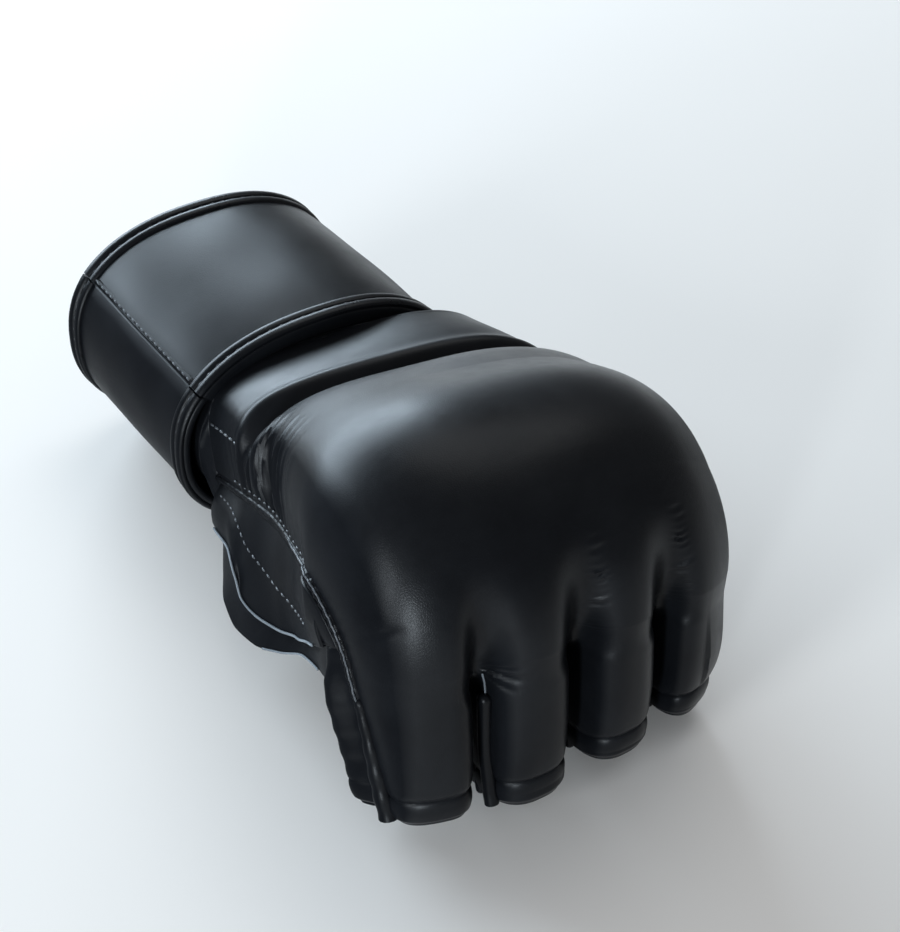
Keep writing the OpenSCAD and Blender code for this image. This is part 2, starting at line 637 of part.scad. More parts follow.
// Finger sleeves: padded front, loop round the sides and back, two welts and a hem
foam_lip = 1.6;
welt_start = crotch_at + 0.16;
root_row = crotch_at + slit;
function pad_rows(i) = concat([root_row, root_row + 0.05], steps(finger_at, hem_at(i) - slit, 4));
function pad_row(i, v, inset) = [for (u = finger_cols(i)) fluted_at(i, u, v, inset, finger_gap / 2)];
function pad_grid(i, inset) = [for (v = pad_rows(i)) pad_row(i, v, inset)];
function finger_space_row(i, v, inset) = [for (u = finger_cols(i))
    place(finger_x(i) + u * (finger_side(i, u, v) - finger_gap / 2 - inset),
        finger_seam_gap + (space(v) - finger_seam_gap) * finger_arch(u), v)];
loop_angles = steps(90, 270, 10);
function loop_row(i, v, inset) = [for (a = loop_angles)
    let(u = signed_pow(sin(a), 2 / palm_n), g = finger_seam_gap,
        swell = i == 0 && u > 0 ? loop_swell * sin(2 * (a - 90)) : 0,
        x = finger_x(i) + u * (finger_side(i, u, v) - finger_gap / 2 - inset) + swell)
    place(x, -g - (through(palm_stations, v) - inset - g) * pow(abs(cos(a)), 2 / palm_n), v)];
function hem_ring(i, v, inset) = concat(pad_row(i, v, inset), reversed(loop_row(i, v, inset)));
function hem_rows(i) = [hem_at(i) + slit / 2, (hem_at(i) + finger_end(i)) / 2, finger_end(i)];

module finger_pad(i) {
    color(leather_black) seated() slab(pad_grid(i, 0), pad_grid(i, leather_t));
}

module finger_foam(i) {
    rows = concat(pad_rows(i), [hem_rows(i)[0], hem_rows(i)[1], finger_end(i) - 2 * slit]);
    color(foam_grey) seated() slab([for (v = rows) pad_row(i, v, foam_out)],
        [for (v = rows) finger_space_row(i, v, foam_out + foam_lip)]);
}

module finger_loop(i) {
    rows = steps(crotch_at + slit, hem_at(i) - slit, 4);
    color(leather_black) seated() slab([for (v = rows) loop_row(i, v, 0)],
        [for (v = rows) loop_row(i, v, leather_t)]);
}

module finger_welts(i) {
    rows = steps(welt_start, hem_at(i) - 2 * slit, 5);
    inset = finger_gap / 2 + finger_welt_r;
    color(binding_black) seated() for (side = [-1, 1])
        welt([for (v = rows) place(finger_x(i) + side * (finger_side(i, side, v) - inset), 0, v)],
            finger_welt_r);
}

module finger_hem(i) {
    color(leather_black) seated() slab([for (v = hem_rows(i)) hem_ring(i, v, 0)],
        [for (v = hem_rows(i)) hem_ring(i, v, leather_t)], true);
}

// How the glove lies: pitched until cuff and finger ends are level, its box centred over the origin
function pitched(p, t) = [p.x, p.y * cos(t) - p.z * sin(t), p.y * sin(t) + p.z * cos(t)];
function lowest(points, t) = min([for (p = points) pitched(p, t).z]);
function level_pitch(a, b, n = 26) = let(t = (a + b) / 2) n == 0 ? t
    : lowest(end_points, t) < lowest(sole_points, t) ? level_pitch(t, b, n - 1) : level_pitch(a, t, n - 1);
end_points = [for (i = [0 : 3]) each hem_ring(i, finger_end(i), 0)];
sole_angles = concat(steps(tip_top - root_angle, strap_end, tip_cols),
    steps(strap_top - root_angle, side_low + root_angle, side_cols));
sole_points = [for (q = concat(front_q, rear_q), th = sole_angles) strap_at(th, q, binding_out)];
rest_pitch = level_pitch(5, 40);
reach = [for (p = concat(end_points, sole_points, flat(shell_grid(0)), flat(panel_grid(palm_out)),
    flat(rear_band_grid(binding_out)), flat(flap_lining_grid(leather_t + layer_gap)), flat(flap_grid(0))))
    pitched(p, rest_pitch)];
rest_shift = -[(min([for (p = reach) p.x]) + max([for (p = reach) p.x])) / 2,
    (min([for (p = reach) p.y]) + max([for (p = reach) p.y])) / 2, min([for (p = reach) p.z])];

knuckle_shell();
knuckle_foam();
back_lining();
ridge_cover();
ridge_foam();
radial_welt();
ulnar_welt();
wrist_gusset();
palm_frame();
palm_panel();
grip_bar();
thumb_band();
thumb_flap();
thumb_flap_lining();
cuff_sleeve();
cuff_foam();
cuff_lining();
cuff_panel();
cuff_panel_pad();
cuff_binding_front();
cuff_binding_rear();
strap_anchor();
loop_patch();
strap_side();
strap_side_binding();
strap_tip();
strap_tip_binding();
hook_patch();
finger_pad(0);  // index_pad
finger_foam(0);  // index_foam
finger_loop(0);  // index_loop
finger_welts(0);  // index_welts
finger_hem(0);  // index_hem
finger_pad(1);  // middle_pad
finger_foam(1);  // middle_foam
finger_loop(1);  // middle_loop
finger_welts(1);  // middle_welts
finger_hem(1);  // middle_hem
finger_pad(2);  // ring_pad
finger_foam(2);  // ring_foam
finger_loop(2);  // ring_loop
finger_welts(2);  // ring_welts
finger_hem(2);  // ring_hem
finger_pad(3);  // little_pad
finger_foam(3);  // little_foam
finger_loop(3);  // little_loop
finger_welts(3);  // little_welts
finger_hem(3);  // little_hem
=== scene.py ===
# %% [markdown]
# An open-palm grappling glove for the left hand. It lies on its cuff and its finger ends and keeps the
# shape of a loose fist. The packed model gives the bodies, the joints and the solids. This lesson dresses
# them: every panel is a surface over two parameters, worked out with numpy as a whole array, and every
# finish is a small node tree.

# %% Load the frame
import json

import bpy
import numpy as np
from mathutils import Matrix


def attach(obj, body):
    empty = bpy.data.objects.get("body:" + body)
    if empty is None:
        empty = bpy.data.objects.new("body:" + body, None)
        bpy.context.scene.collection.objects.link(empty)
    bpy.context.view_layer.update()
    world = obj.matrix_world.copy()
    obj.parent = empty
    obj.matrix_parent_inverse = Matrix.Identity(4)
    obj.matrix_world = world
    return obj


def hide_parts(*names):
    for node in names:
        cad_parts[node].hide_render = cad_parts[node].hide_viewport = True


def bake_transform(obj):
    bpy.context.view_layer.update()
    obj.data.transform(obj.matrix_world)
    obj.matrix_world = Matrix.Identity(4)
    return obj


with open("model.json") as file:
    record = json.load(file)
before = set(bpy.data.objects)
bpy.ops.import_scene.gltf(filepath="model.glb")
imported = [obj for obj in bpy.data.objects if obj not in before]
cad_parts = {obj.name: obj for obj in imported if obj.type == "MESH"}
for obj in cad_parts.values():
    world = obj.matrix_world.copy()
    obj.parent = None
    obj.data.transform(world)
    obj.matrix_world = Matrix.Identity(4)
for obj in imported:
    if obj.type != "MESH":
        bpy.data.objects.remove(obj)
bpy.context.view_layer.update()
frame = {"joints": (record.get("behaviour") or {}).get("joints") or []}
joints = {j["name"]: j for j in frame["joints"]}

# %% [markdown]
# The camera looks down on the knuckles from the front, a little to the thumb side, through a long lens.
# The picture is 900 pixels wide, so a focal length in pixels turns into millimetres on a 36 mm sensor.

# %% Camera
PICTURE_W = 900
SENSOR_MM = 36.0
FOCAL_PX = 2255.7
VIEW_AZIMUTH = np.radians(152.45)
VIEW_ELEVATION = np.radians(40.81)
VIEW_ROLL = np.radians(0.37)
VIEW_DISTANCE = 0.5031
VIEW_AIM = np.array([0.0119, 0.05389, 0.07762])


def add_camera():
    """Camera at VIEW_DISTANCE from VIEW_AIM, its axes right, up and back built from the three view angles."""
    sin_a, cos_a = np.sin(VIEW_AZIMUTH), np.cos(VIEW_AZIMUTH)
    back = np.array([sin_a * np.cos(VIEW_ELEVATION), -cos_a * np.cos(VIEW_ELEVATION), np.sin(VIEW_ELEVATION)])
    level = np.array([cos_a, sin_a, 0.0])
    up = np.cross(back, level)
    right = level * np.cos(VIEW_ROLL) + up * np.sin(VIEW_ROLL)
    axes = np.eye(4)
    axes[:3, 0] = right
    axes[:3, 1] = np.cross(back, right)
    axes[:3, 2] = back
    axes[:3, 3] = VIEW_AIM + back * VIEW_DISTANCE
    data = bpy.data.cameras.new("camera")
    data.sensor_fit = "HORIZONTAL"
    data.sensor_width = SENSOR_MM
    data.lens = FOCAL_PX * SENSOR_MM / PICTURE_W
    data.clip_start = 0.01
    camera = bpy.data.objects.new("camera", data)
    camera.matrix_world = axes.T.tolist()
    bpy.context.scene.collection.objects.link(camera)
    bpy.context.scene.camera = camera
    return axes[:3, 3]


print("camera at", np.round(add_camera(), 3))

# %% [markdown]
# The glove's form comes from few sizes, in millimetres. They are the same ones that the solids use: the
# length of the back, half widths on both sides, and heights of the padding and of the hand space at stations
# along the hand. Station 0 is the wrist, 1 and 2 are the ends of the knuckle bend and 3 is the finger ends.
# The two skew sizes set the little-finger side back and down, as it is on a fist.

# %% Sizes
BACK_LEN = 76.0
BEND_R = 16.5
FINGER_RUN = 41.5
WRIST_DROP = 5.0
SKEW_BACK = 10.0
SKEW_DROP = 11.5
FINGERS = ["index", "middle", "ring", "little"]
FINGER_W = np.array([20.5, 25.5, 24.0, 22.0])
FINGER_LEN = np.array([42.0, 45.0, 44.0, 43.5])
FINGER_TAPER, END_DRAW = 0.16, 3.5
LOOP_SWELL = [[1.8, 0.5], [2.05, 4.0], [2.3, 7.0], [3, 5.5]]
HEM_H = 7.0
CROTCH_DROP = 4.5
END_HALF = 47.5
RADIAL = [[0, 44.5], [0.5, 45], [1.2, 51.5], [3, END_HALF]]
ULNAR = [[0, 38], [0.5, 48], [1.2, 49.5], [3, FINGER_W.sum() - END_HALF - END_DRAW]]
RIDGE_AT, RIDGE_END, GROOVE_AT, DOME_AT = 0.28, 0.386, 0.39, 0.70
KNUCKLE_AT, FINGER_AT, FLUTE_AT = 1.3, 2.2, 1.62
CROWN = [[0, 28], [RIDGE_AT, 25.4], [RIDGE_END, 17], [GROOVE_AT, 21.3], [DOME_AT, 31.6],
         [KNUCKLE_AT, 35.4], [FINGER_AT, 25.8], [3, 15.3]]
SPACE = [[0, 13], [GROOVE_AT, 13], [KNUCKLE_AT, 17.5], [FINGER_AT, 11], [3, 6]]
PALM = [[0, 24], [0.5, 20], [1, 12.5], [1.5, 11], [FINGER_AT, 11], [3, 14.5]]
THENAR_H = 10.0
FLUTE, VALLEY_W = 0.4, 0.45
# exponents of the cross-sections: the larger, the squarer
SQUARE_N, ROUND_N, FINGER_N = 4.2, 2.9, 2.6
PALM_N, FLAT_N = 3.2, 14
LEATHER, LINING, GAP = 1.3, 0.8, 0.3
WELT_R, FINGER_WELT_R = 1.5, 1.1
SEAM_GAP, FINGER_SEAM_GAP = WELT_R + GAP, FINGER_WELT_R + GAP
FINGER_GAP = 1.0
FOAM_OUT = LEATHER + GAP
LINING_SIDE = FOAM_OUT + 3.0 + GAP
CROTCH_AT = 2 + CROTCH_DROP / FINGER_RUN
FINGER_X = END_HALF - np.cumsum(FINGER_W) + FINGER_W / 2
FINGER_END = 2 + FINGER_LEN / FINGER_RUN
HEM_AT = FINGER_END - HEM_H / FINGER_RUN
print("finger centres", FINGER_X, "hems start at", np.round(HEM_AT, 3))

# %% [markdown]
# Stations become smooth curves. A spline through them could overshoot and make a dent that nobody drew, so
# this cubic takes its slope from the two chords at a station and lies flat where they turn.


# %% Curves through stations
def mix(a, b, t):
    """Straight blend from a to b."""
    return a + (b - a) * t


def ease(x):
    """Smooth step: 3t^2 - 2t^3 on t = x held between 0 and 1."""
    t = np.clip(x, 0, 1)
    return t * t * (3 - 2 * t)


def bell(x, width):
    """Bell curve exp(-(x / width)^2)."""
    return np.exp(-((x / width) ** 2))


def signed_pow(x, power):
    """|x|^power with the sign of x."""
    return np.sign(x) * np.abs(x) ** power


def through(stations, x):
    """Cubic pieces through the stations; a slope is the harmonic mean of the chords, or 0 where they turn."""
    at, value = np.array(stations, float).T
    chord = np.diff(value) / np.diff(at)
    before, after = chord[:-1], chord[1:]
    same = before * after > 0
    inner = np.where(same, 2 * before * after / np.where(same, before + after, 1), 0)
    slope = np.concatenate([chord[:1], inner, chord[-1:]])
    i = np.clip(np.searchsorted(at, x, side="right") - 1, 0, len(at) - 2)
    width = at[i + 1] - at[i]
    t = np.clip((x - at[i]) / width, 0, 1)
    return (value[i] * (1 + 2 * t) * (1 - t) ** 2 + slope[i] * width * t * (1 - t) ** 2
            + value[i + 1] * t * t * (3 - 2 * t) + slope[i + 1] * width * t * t * (t - 1))


print("padding on the dome and over the knuckles, in mm:", through(CROWN, np.array([DOME_AT, KNUCKLE_AT])))

# %% [markdown]
# A point of the hand is placed by three numbers: how far across it is, how high above the side seam, and at
# which station. The seam line runs along the back, turns down through a right angle at the knuckles and goes
# on to the finger ends. A flat glove could be bent with a Curve modifier, but a formula keeps every layer at
# its own distance through the bend.


# %% Form of the hand
def half_w(side, v):
    """Half width on the side that the sign of side tells, at station v."""
    return np.where(np.asarray(side) > 0, through(RADIAL, v), through(ULNAR, v))


def place(x, h, v):
    """Point x across and h above the seam at v; a power of x sets the little-finger side back and down."""
    x, h, v = np.broadcast_arrays(np.asarray(x, float), np.asarray(h, float), np.asarray(v, float))
    lean = np.pi / 2 * np.clip(v - 1, 0, 1)
    seam_y = np.where(v < 1, v * BACK_LEN, BACK_LEN + BEND_R * np.sin(lean))
    seam_z = np.where(v < 1, FINGER_RUN + BEND_R - WRIST_DROP * np.maximum(1 - v, 0) ** 1.5,
                      np.where(v < 2, FINGER_RUN + BEND_R * np.cos(lean), FINGER_RUN * (3 - v)))
    radial = half_w(1, v)
    skew = np.clip((radial - x) / (radial + half_w(-1, v)), 0, 1) ** 1.5
    y = seam_y + h * np.sin(lean) - SKEW_BACK * skew * np.clip(v / 1.5, 0, 1)
    z = seam_z + h * np.cos(lean) - SKEW_DROP * skew * np.clip(np.minimum(v / 0.8, (3 - v) / 1.5), 0, 1)
    return np.stack([x, y, z], -1)


def arch(k, n):
    """Height of the cross-section at fraction k of its half width: (1 - |k|^n)^(1/n)."""
    return np.maximum(0, 1 - np.abs(k) ** n) ** (1 / n)


def section_n(side, v):
    """Exponent of the cross-section: squarer on the thumb side, behind the knuckles."""
    return np.where(np.asarray(side) > 0, mix(SQUARE_N, ROUND_N, ease((v - 0.35) / 0.8)), ROUND_N)


def back_at(k, v, rise, inset):
    """Back of the hand at fraction k across, a surface of the given rise set in from the sides."""
    return place(k * (half_w(k, v) - inset), SEAM_GAP + (rise - SEAM_GAP) * arch(k, section_n(k, v)), v)


print("width at the knuckles", np.round(half_w(1, KNUCKLE_AT) + half_w(-1, KNUCKLE_AT), 1), "mm")

# %% [markdown]
# The fingers share the hand's arch and part from each other below the knuckles. Four tubes could be joined to
# the back of the hand, but they would meet it at hard creases. Valleys that fade in keep one smooth skin.


# %% Form of the fingers
def finger_half(i, u, v):
    """Half width of finger i on the side of u, and whether that is an outer side of the hand."""
    outer = ((i == 0) & (u > 0)) | ((i == 3) & (u < 0))
    inner_half = FINGER_W[i] / 2 * (1 - FINGER_TAPER * ease((v - CROTCH_AT) / (3 - CROTCH_AT)))
    return np.where(outer, np.abs(np.sign(u) * half_w(u, v) - FINGER_X[i]), inner_half), outer


def finger_front(i, u, v, inset=0.0):
    """Front of finger i at fraction u of its width: the hand's arch with valleys that open to sleeves."""
    side, outer = finger_half(i, u, v)
    part = ease((v - CROTCH_AT) * FINGER_RUN / 4)
    x = FINGER_X[i] + u * (side - inset - np.where(outer, 0, FINGER_GAP / 2) * part)
    k = x / (half_w(x, v) - inset)
    foot = mix(SEAM_GAP, FINGER_SEAM_GAP, part)
    depth = FLUTE * ease((v - FLUTE_AT) / (CROTCH_AT - FLUTE_AT))
    valley = 1 - depth * bell(1 - np.abs(u), VALLEY_W)
    flute = np.where(outer, 1, mix(valley, arch(u, FINGER_N), ease((v - CROTCH_AT) * FINGER_RUN / 6)))
    return place(x, foot + (through(CROWN, v) - inset - foot) * arch(k, section_n(k, v)) * flute, v)


print("fingers part at station", np.round(CROTCH_AT, 3))

# %% [markdown]
# The palm side is a flatter arch that hangs from the same seam, and the ball of the thumb is a bell added to
# it. Back and palm together make the whole ring round the hand that the cuff is joined to.


# %% Form of the palm
def palm_depth(x, v):
    """Depth of the palm: its stations plus the ball of the thumb, a bell along the hand."""
    return through(PALM, v) + THENAR_H * bell(v - 0.3, 0.35) * ease((x + 10) / 35)


def palm_at(x, v, o):
    """Palm side at x across, o outside the form."""
    n = mix(PALM_N, FLAT_N, np.where(np.asarray(x) > 0, ease((v - 0.75) / 0.5), ease((v - 1.2) / 0.8)))
    drop = (palm_depth(x, v) + o - SEAM_GAP) * arch(x / (half_w(x, v) + o), n)
    return place(x, -SEAM_GAP - drop, v)


def ring_at(a, v, inset):
    """Whole ring round the hand at angle a from the crown, positive to the thumb."""
    n = section_n(np.sin(a), v)
    x = signed_pow(np.sin(a), 2 / n) * (half_w(np.sin(a), v) - inset)
    up = np.cos(a) > 0
    h = np.where(up, through(CROWN, v), palm_depth(x, v)) - inset - SEAM_GAP
    return place(x, np.where(up, 1, -1) * (SEAM_GAP + h * np.abs(np.cos(a)) ** (2 / n)), v)


print("depth of the palm at mid hand", np.round(palm_depth(0, 0.5), 1), "mm")

# %% [markdown]
# The cuff is an oval tube that is pitched up from the back of the hand and turned to the little-finger
# side. A place on it is an angle, a share of its length and an inset from its outer face.

# %% Form of the cuff
CUFF_LEN = 67.0
CUFF_HALF = np.array([40.5, 27.5])
RIM_HALF = np.array([39.0, 28.0])
CUFF_PITCH, CUFF_YAW = np.radians(16.0), np.radians(6.5)
CUFF_CENTRE = np.array([11.0, -7.0, FINGER_RUN + BEND_R + 1])
STRAP_SEAM, STRAP_BEND, STRAP_END = 35.0, -50.0, -148.0
STRAP_T, PATCH_T, CUFF_FOAM_T = 2.0, 0.8, 2.6
STRAP_SETBACK = 4.5
CUFF_N = 2.3
LOOP_OUT = STRAP_T + PATCH_T + 2 * GAP
SLEEVE_OUT = LOOP_OUT + PATCH_T + GAP
FOAM_IN = SLEEVE_OUT + LEATHER + GAP + CUFF_FOAM_T


def cuff_at(angle, s, o):
    """Cuff at an angle in degrees from the thumb side towards the back, share s of its length, inset o."""
    angle, s, o = np.broadcast_arrays(*[np.asarray(q, float) for q in (angle, s, o)])
    th = np.radians(angle)
    x = signed_pow(np.cos(th), 2 / CUFF_N) * (mix(CUFF_HALF[0], RIM_HALF[0], s) - o)
    z = signed_pow(np.sin(th), 2 / CUFF_N) * (mix(CUFF_HALF[1], RIM_HALF[1], s) - o)
    y = -CUFF_LEN * s
    y, z = y * np.cos(CUFF_PITCH) + z * np.sin(CUFF_PITCH), z * np.cos(CUFF_PITCH) - y * np.sin(CUFF_PITCH)
    turned = [x * np.cos(CUFF_YAW) - y * np.sin(CUFF_YAW), x * np.sin(CUFF_YAW) + y * np.cos(CUFF_YAW), z]
    return CUFF_CENTRE + np.stack(turned, -1)


def strap_rear(angle):
    """Rear edge of the strap as a share of the cuff: flush at its seam, set back at its free end."""
    return 1 - STRAP_SETBACK / CUFF_LEN * np.clip((STRAP_SEAM - angle) / (STRAP_SEAM - STRAP_END), 0, 1)


print("cuff", CUFF_LEN, "mm long, lining from inset", FOAM_IN + GAP, "mm")

# %% [markdown]
# The hand's own frame has to land where the packed model lies. Two joints are known in both frames: the
# index finger's hinge and the strap's seam. The line between them gives the pitch, and one of the points
# gives the shift, so nothing is fitted by eye.

# %% From the hand to the frame
hinge_hand = finger_front(0, np.array(0.0), np.array(CROTCH_AT))
seam_hand = cuff_at(STRAP_SEAM, np.array([0, 1]), 0).mean(0)
hinge_rest = np.array(joints["index_flex"]["pos_m"])
seam_rest = np.array(joints["strap_swing"]["pos_m"])
line_hand, line_rest = seam_hand - hinge_hand, seam_rest - hinge_rest
PITCH = np.arctan2(line_rest[2], line_rest[1]) - np.arctan2(line_hand[2], line_hand[1])


def pitched(p):
    """Turn about X by PITCH, and millimetres to metres."""
    x, y, z = np.moveaxis(np.asarray(p, float), -1, 0)
    turned = [x, y * np.cos(PITCH) - z * np.sin(PITCH), y * np.sin(PITCH) + z * np.cos(PITCH)]
    return 0.001 * np.stack(turned, -1)


SHIFT = hinge_rest - pitched(hinge_hand)


def seat(p):
    """Point of the hand frame in millimetres to the frame of the packed model in metres."""
    return pitched(p) + SHIFT


print("pitch", np.round(np.degrees(PITCH) % 360, 3), "degrees, shift", np.round(SHIFT, 5), "m")

# %% [markdown]
# Leather goods are layers with folded edges. A slab is the closed skin between two grids of points, and
# its rim is a half round, as a turned edge is. Solidify and Bevel could do that too, but here both faces
# are known, so the thickness is exact.

# %% Slabs
EDGE_STEPS = 4


def grid_quads(n, m, wrap):
    """Quads of an n by m grid of points; wrap joins the last column to the first."""
    i, j = np.meshgrid(np.arange(n - 1), np.arange(m if wrap else m - 1), indexing="ij")
    k = (j + 1) % m
    return np.stack([i * m + j, i * m + k, (i + 1) * m + k, (i + 1) * m + j], -1).reshape(-1, 4)


def slab(outer, inner, wrap=False, roll=0.5):
    """Closed part between two grids; its edge is a half round that bulges by roll at most."""
    n, m = outer.shape[:2]
    number = np.arange(n * m).reshape(n, m)
    points = [outer.reshape(-1, 3), inner.reshape(-1, 3)]
    skin = [grid_quads(n, m, wrap), grid_quads(n, m, wrap)[:, ::-1] + n * m]
    if wrap:
        loops = [number[0], number[-1, ::-1]]
    else:
        loops = [np.concatenate([number[0, :-1], number[:-1, -1], number[-1, :0:-1], number[:0:-1, 0]])]
    edge = []
    for loop in loops:
        r, c = loop // m, loop % m
        inside = np.clip(r, 1, n - 2) * m + (c if wrap else np.clip(c, 1, m - 2))
        middle = (points[0] + points[1])[loop] / 2
        half = (points[0] - points[1])[loop] / 2
        away = middle - (points[0] + points[1])[inside] / 2
        away /= np.maximum(np.linalg.norm(away, axis=1, keepdims=True), 1e-9)
        bulge = np.minimum(np.linalg.norm(half, axis=1, keepdims=True), roll)
        first = sum(len(p) for p in points)
        turn = np.pi * np.arange(1, EDGE_STEPS) / EDGE_STEPS
        points += [middle + half * np.cos(t) + away * bulge * np.sin(t) for t in turn]
        between = [first + q * len(loop) + np.arange(len(loop)) for q in range(EDGE_STEPS - 1)]
        rows = [loop] + between + [loop + n * m]
        for a, b in zip(rows[:-1], rows[1:]):
            edge.append(np.stack([np.roll(a, -1), a, b, np.roll(b, -1)], -1))
    return np.concatenate(points), [(np.concatenate(skin + edge), 0)]


print("an edge is rounded in", EDGE_STEPS, "steps")

# %% [markdown]
# Welts and raw edges are tubes, rings of points carried along a path and closed at both ends. A curve with
# a bevel gives tubes too, but here every ring can have its own radius, and the far end is round or, where
# a roll was cut off, hollow. Relief is added to a grid along its normals, as the Displace modifier does it.

# %% Tubes and relief
ACROSS = np.array([1.0, 0, 0])
ROUND_END = np.array([0.35, 0.75, 0.97])
HOLLOW_END, HOLLOW_LIP = np.array([0.86, 0.68, 0.55]), 0.15


def loft(rings, finish=0):
    """Closed part through rings of points, rings[i, j], with a flat face over each end."""
    n, m = rings.shape[:2]
    ends = np.stack([np.arange(m)[::-1], (n - 1) * m + np.arange(m)])
    return rings.reshape(-1, 3), [(grid_quads(n, m, True), finish), (ends, finish)]


def tube(path, radius, sides=14, finish=0, hollow=0.0):
    """Round tube along a path: rings of the given radii square to it, with a round or hollow far end."""
    path = np.asarray(path, float)
    radius = np.broadcast_to(radius, len(path))
    along = np.gradient(path, axis=0)
    along /= np.linalg.norm(along, axis=1, keepdims=True)
    reach = np.sqrt(1 - ROUND_END**2)
    far_end, far_reach = ROUND_END[::-1], radius[-1] * reach[::-1]
    if hollow:
        far_end, far_reach = HOLLOW_END, np.array([HOLLOW_LIP, 0.0, -hollow])
    path = np.concatenate([path[:1] - along[:1] * radius[0] * reach[:, None], path,
                           path[-1:] + along[-1:] * far_reach[:, None]])
    radius = np.concatenate([radius[0] * ROUND_END, radius, radius[-1] * far_end])
    along = np.concatenate([along[:1]] * 3 + [along] + [along[-1:]] * 3)
    u = np.cross(along, ACROSS)
    u /= np.linalg.norm(u, axis=1, keepdims=True)
    w = np.cross(along, u)
    turn = np.linspace(0, 2 * np.pi, sides, endpoint=False)[None, :, None]
    rings = path[:, None] + radius[:, None, None] * (np.cos(turn) * u[:, None] + np.sin(turn) * w[:, None])
    return loft(rings, finish)


def raised(outer, inner, d, wrap=False):
    """Grid moved by d along its normals, which point away from the inner grid."""
    if wrap:
        across = np.roll(outer, -1, 1) - np.roll(outer, 1, 1)
    else:
        across = np.gradient(outer, axis=1)
    normal = np.cross(np.gradient(outer, axis=0), across)
    normal /= np.maximum(np.linalg.norm(normal, axis=-1, keepdims=True), 1e-9)
    sign = np.sign(np.sum(normal * (outer - inner)))
    return outer + sign * normal * np.asarray(d)[..., None]


print("rings of a round end, as shares of the radius:", ROUND_END)

# %% [markdown]
# Sewing thread shows as a row of short stitches whose ends go into the leather. A texture would look flat
# from the side, so each stitch is a small rice grain of two dozen faces that lies along a line.

# %% Stitches
GRAIN_SIDES = 6
GRAIN_TURN = np.arange(GRAIN_SIDES) * 2 * np.pi / GRAIN_SIDES
GRAIN_RINGS = [(-0.7, 0.8), (0.0, 1.0), (0.7, 0.8)]
GRAIN_WAIST = [[b, r * np.cos(t), r * np.sin(t)] for b, r in GRAIN_RINGS for t in GRAIN_TURN]
GRAIN = np.array([[-1, 0, 0]] + GRAIN_WAIST + [[1, 0, 0]])
GRAIN_QUADS = grid_quads(3, GRAIN_SIDES, True) + 1
GRAIN_EDGE = np.arange(GRAIN_SIDES)
GRAIN_NEXT = (GRAIN_EDGE + 1) % GRAIN_SIDES
LAST_RING = 2 * GRAIN_SIDES + 1
GRAIN_TIPS = np.concatenate([
    np.stack([0 * GRAIN_EDGE, 1 + GRAIN_NEXT, 1 + GRAIN_EDGE], -1),
    np.stack([0 * GRAIN_EDGE + len(GRAIN) - 1, LAST_RING + GRAIN_EDGE, LAST_RING + GRAIN_NEXT], -1)])
GRAIN_LIFT, GRAIN_SINK = 0.15, 0.55
AIM_STEP = 0.4


def stitches(path, lifted, pitch=3.4, length=2.5, r=0.36):
    """Thread along a path, as finish 1: a grain every pitch, its ends sunk; lifted is the path raised."""
    path, lifted = np.asarray(path, float), np.asarray(lifted, float)
    run = np.concatenate([[0], np.cumsum(np.linalg.norm(np.diff(path, axis=0), axis=1))])
    centre = np.arange(pitch / 2, run[-1], pitch)

    def along(line, s):
        return np.stack([np.interp(s, run, line[:, q]) for q in range(3)], -1)

    mid = along(path, centre)
    t = along(path, centre + AIM_STEP) - along(path, centre - AIM_STEP)
    t /= np.linalg.norm(t, axis=1, keepdims=True)
    up = along(lifted, centre) - mid
    up -= t * np.sum(up * t, axis=1, keepdims=True)
    up /= np.linalg.norm(up, axis=1, keepdims=True)
    side = np.cross(up, t)
    b, across, rise = GRAIN.T[:, None, :, None]
    points = (mid[:, None] + t[:, None] * b * length / 2 + side[:, None] * across * r
              + up[:, None] * (rise * r + GRAIN_LIFT * r - GRAIN_SINK * r * b**2))
    first = (np.arange(len(centre)) * len(GRAIN))[:, None, None]
    quads = (GRAIN_QUADS[None] + first).reshape(-1, 4)
    tips = (GRAIN_TIPS[None] + first).reshape(-1, 3)
    return points.reshape(-1, 3), [(quads, 1), (tips, 1)]


print("a stitch has", len(GRAIN_QUADS) + len(GRAIN_TIPS), "faces")

# %% [markdown]
# A piece is one mesh of several closed shapes. Each shape's signed volume tells whether its faces point
# outwards, and the shapes that don't are turned round before they go into the mesh.


# %% Pieces
def volume(points, polygons):
    """Signed volume inside polygons, from fans of triangles."""
    total = 0.0
    for faces, _ in polygons:
        for j in range(1, faces.shape[1] - 1):
            a, b, c = (points[faces[:, q]] for q in (0, j, j + 1))
            total += np.sum(a * np.cross(b, c))
    return total / 6


SHARP_ANGLE = np.radians(55)


def make_piece(name, shapes, finishes):
    """Mesh object from closed shapes, each turned to face outwards; finishes fill the material slots."""
    points, polygons, numbers, first = [], [], [], 0
    for shape, parts in shapes:
        outward = volume(shape, parts) > 0
        for faces, finish in parts:
            polygons += ((faces if outward else faces[:, ::-1]) + first).tolist()
            numbers += [finish] * len(faces)
        points.append(seat(shape))
        first += len(shape)
    mesh = bpy.data.meshes.new(name)
    mesh.from_pydata(np.concatenate(points).tolist(), [], polygons)
    for finish in finishes:
        mesh.materials.append(finish)
    mesh.polygons.foreach_set("material_index", np.array(numbers, np.int32))
    mesh.polygons.foreach_set("use_smooth", np.ones(len(polygons), bool))
    mesh.set_sharp_from_angle(angle=SHARP_ANGLE)
    mesh.update()
    piece = bpy.data.objects.new(name, mesh)
    bpy.context.scene.collection.objects.link(piece)
    print(name, len(polygons), "faces")
    return piece


def on_body(piece, body, *nodes):
    """Piece that moves with one body and stands for the given nodes."""
    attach(piece, body)
    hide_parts(*nodes)
    return piece


print("edges sharper than", np.round(np.degrees(SHARP_ANGLE)), "degrees stay sharp")

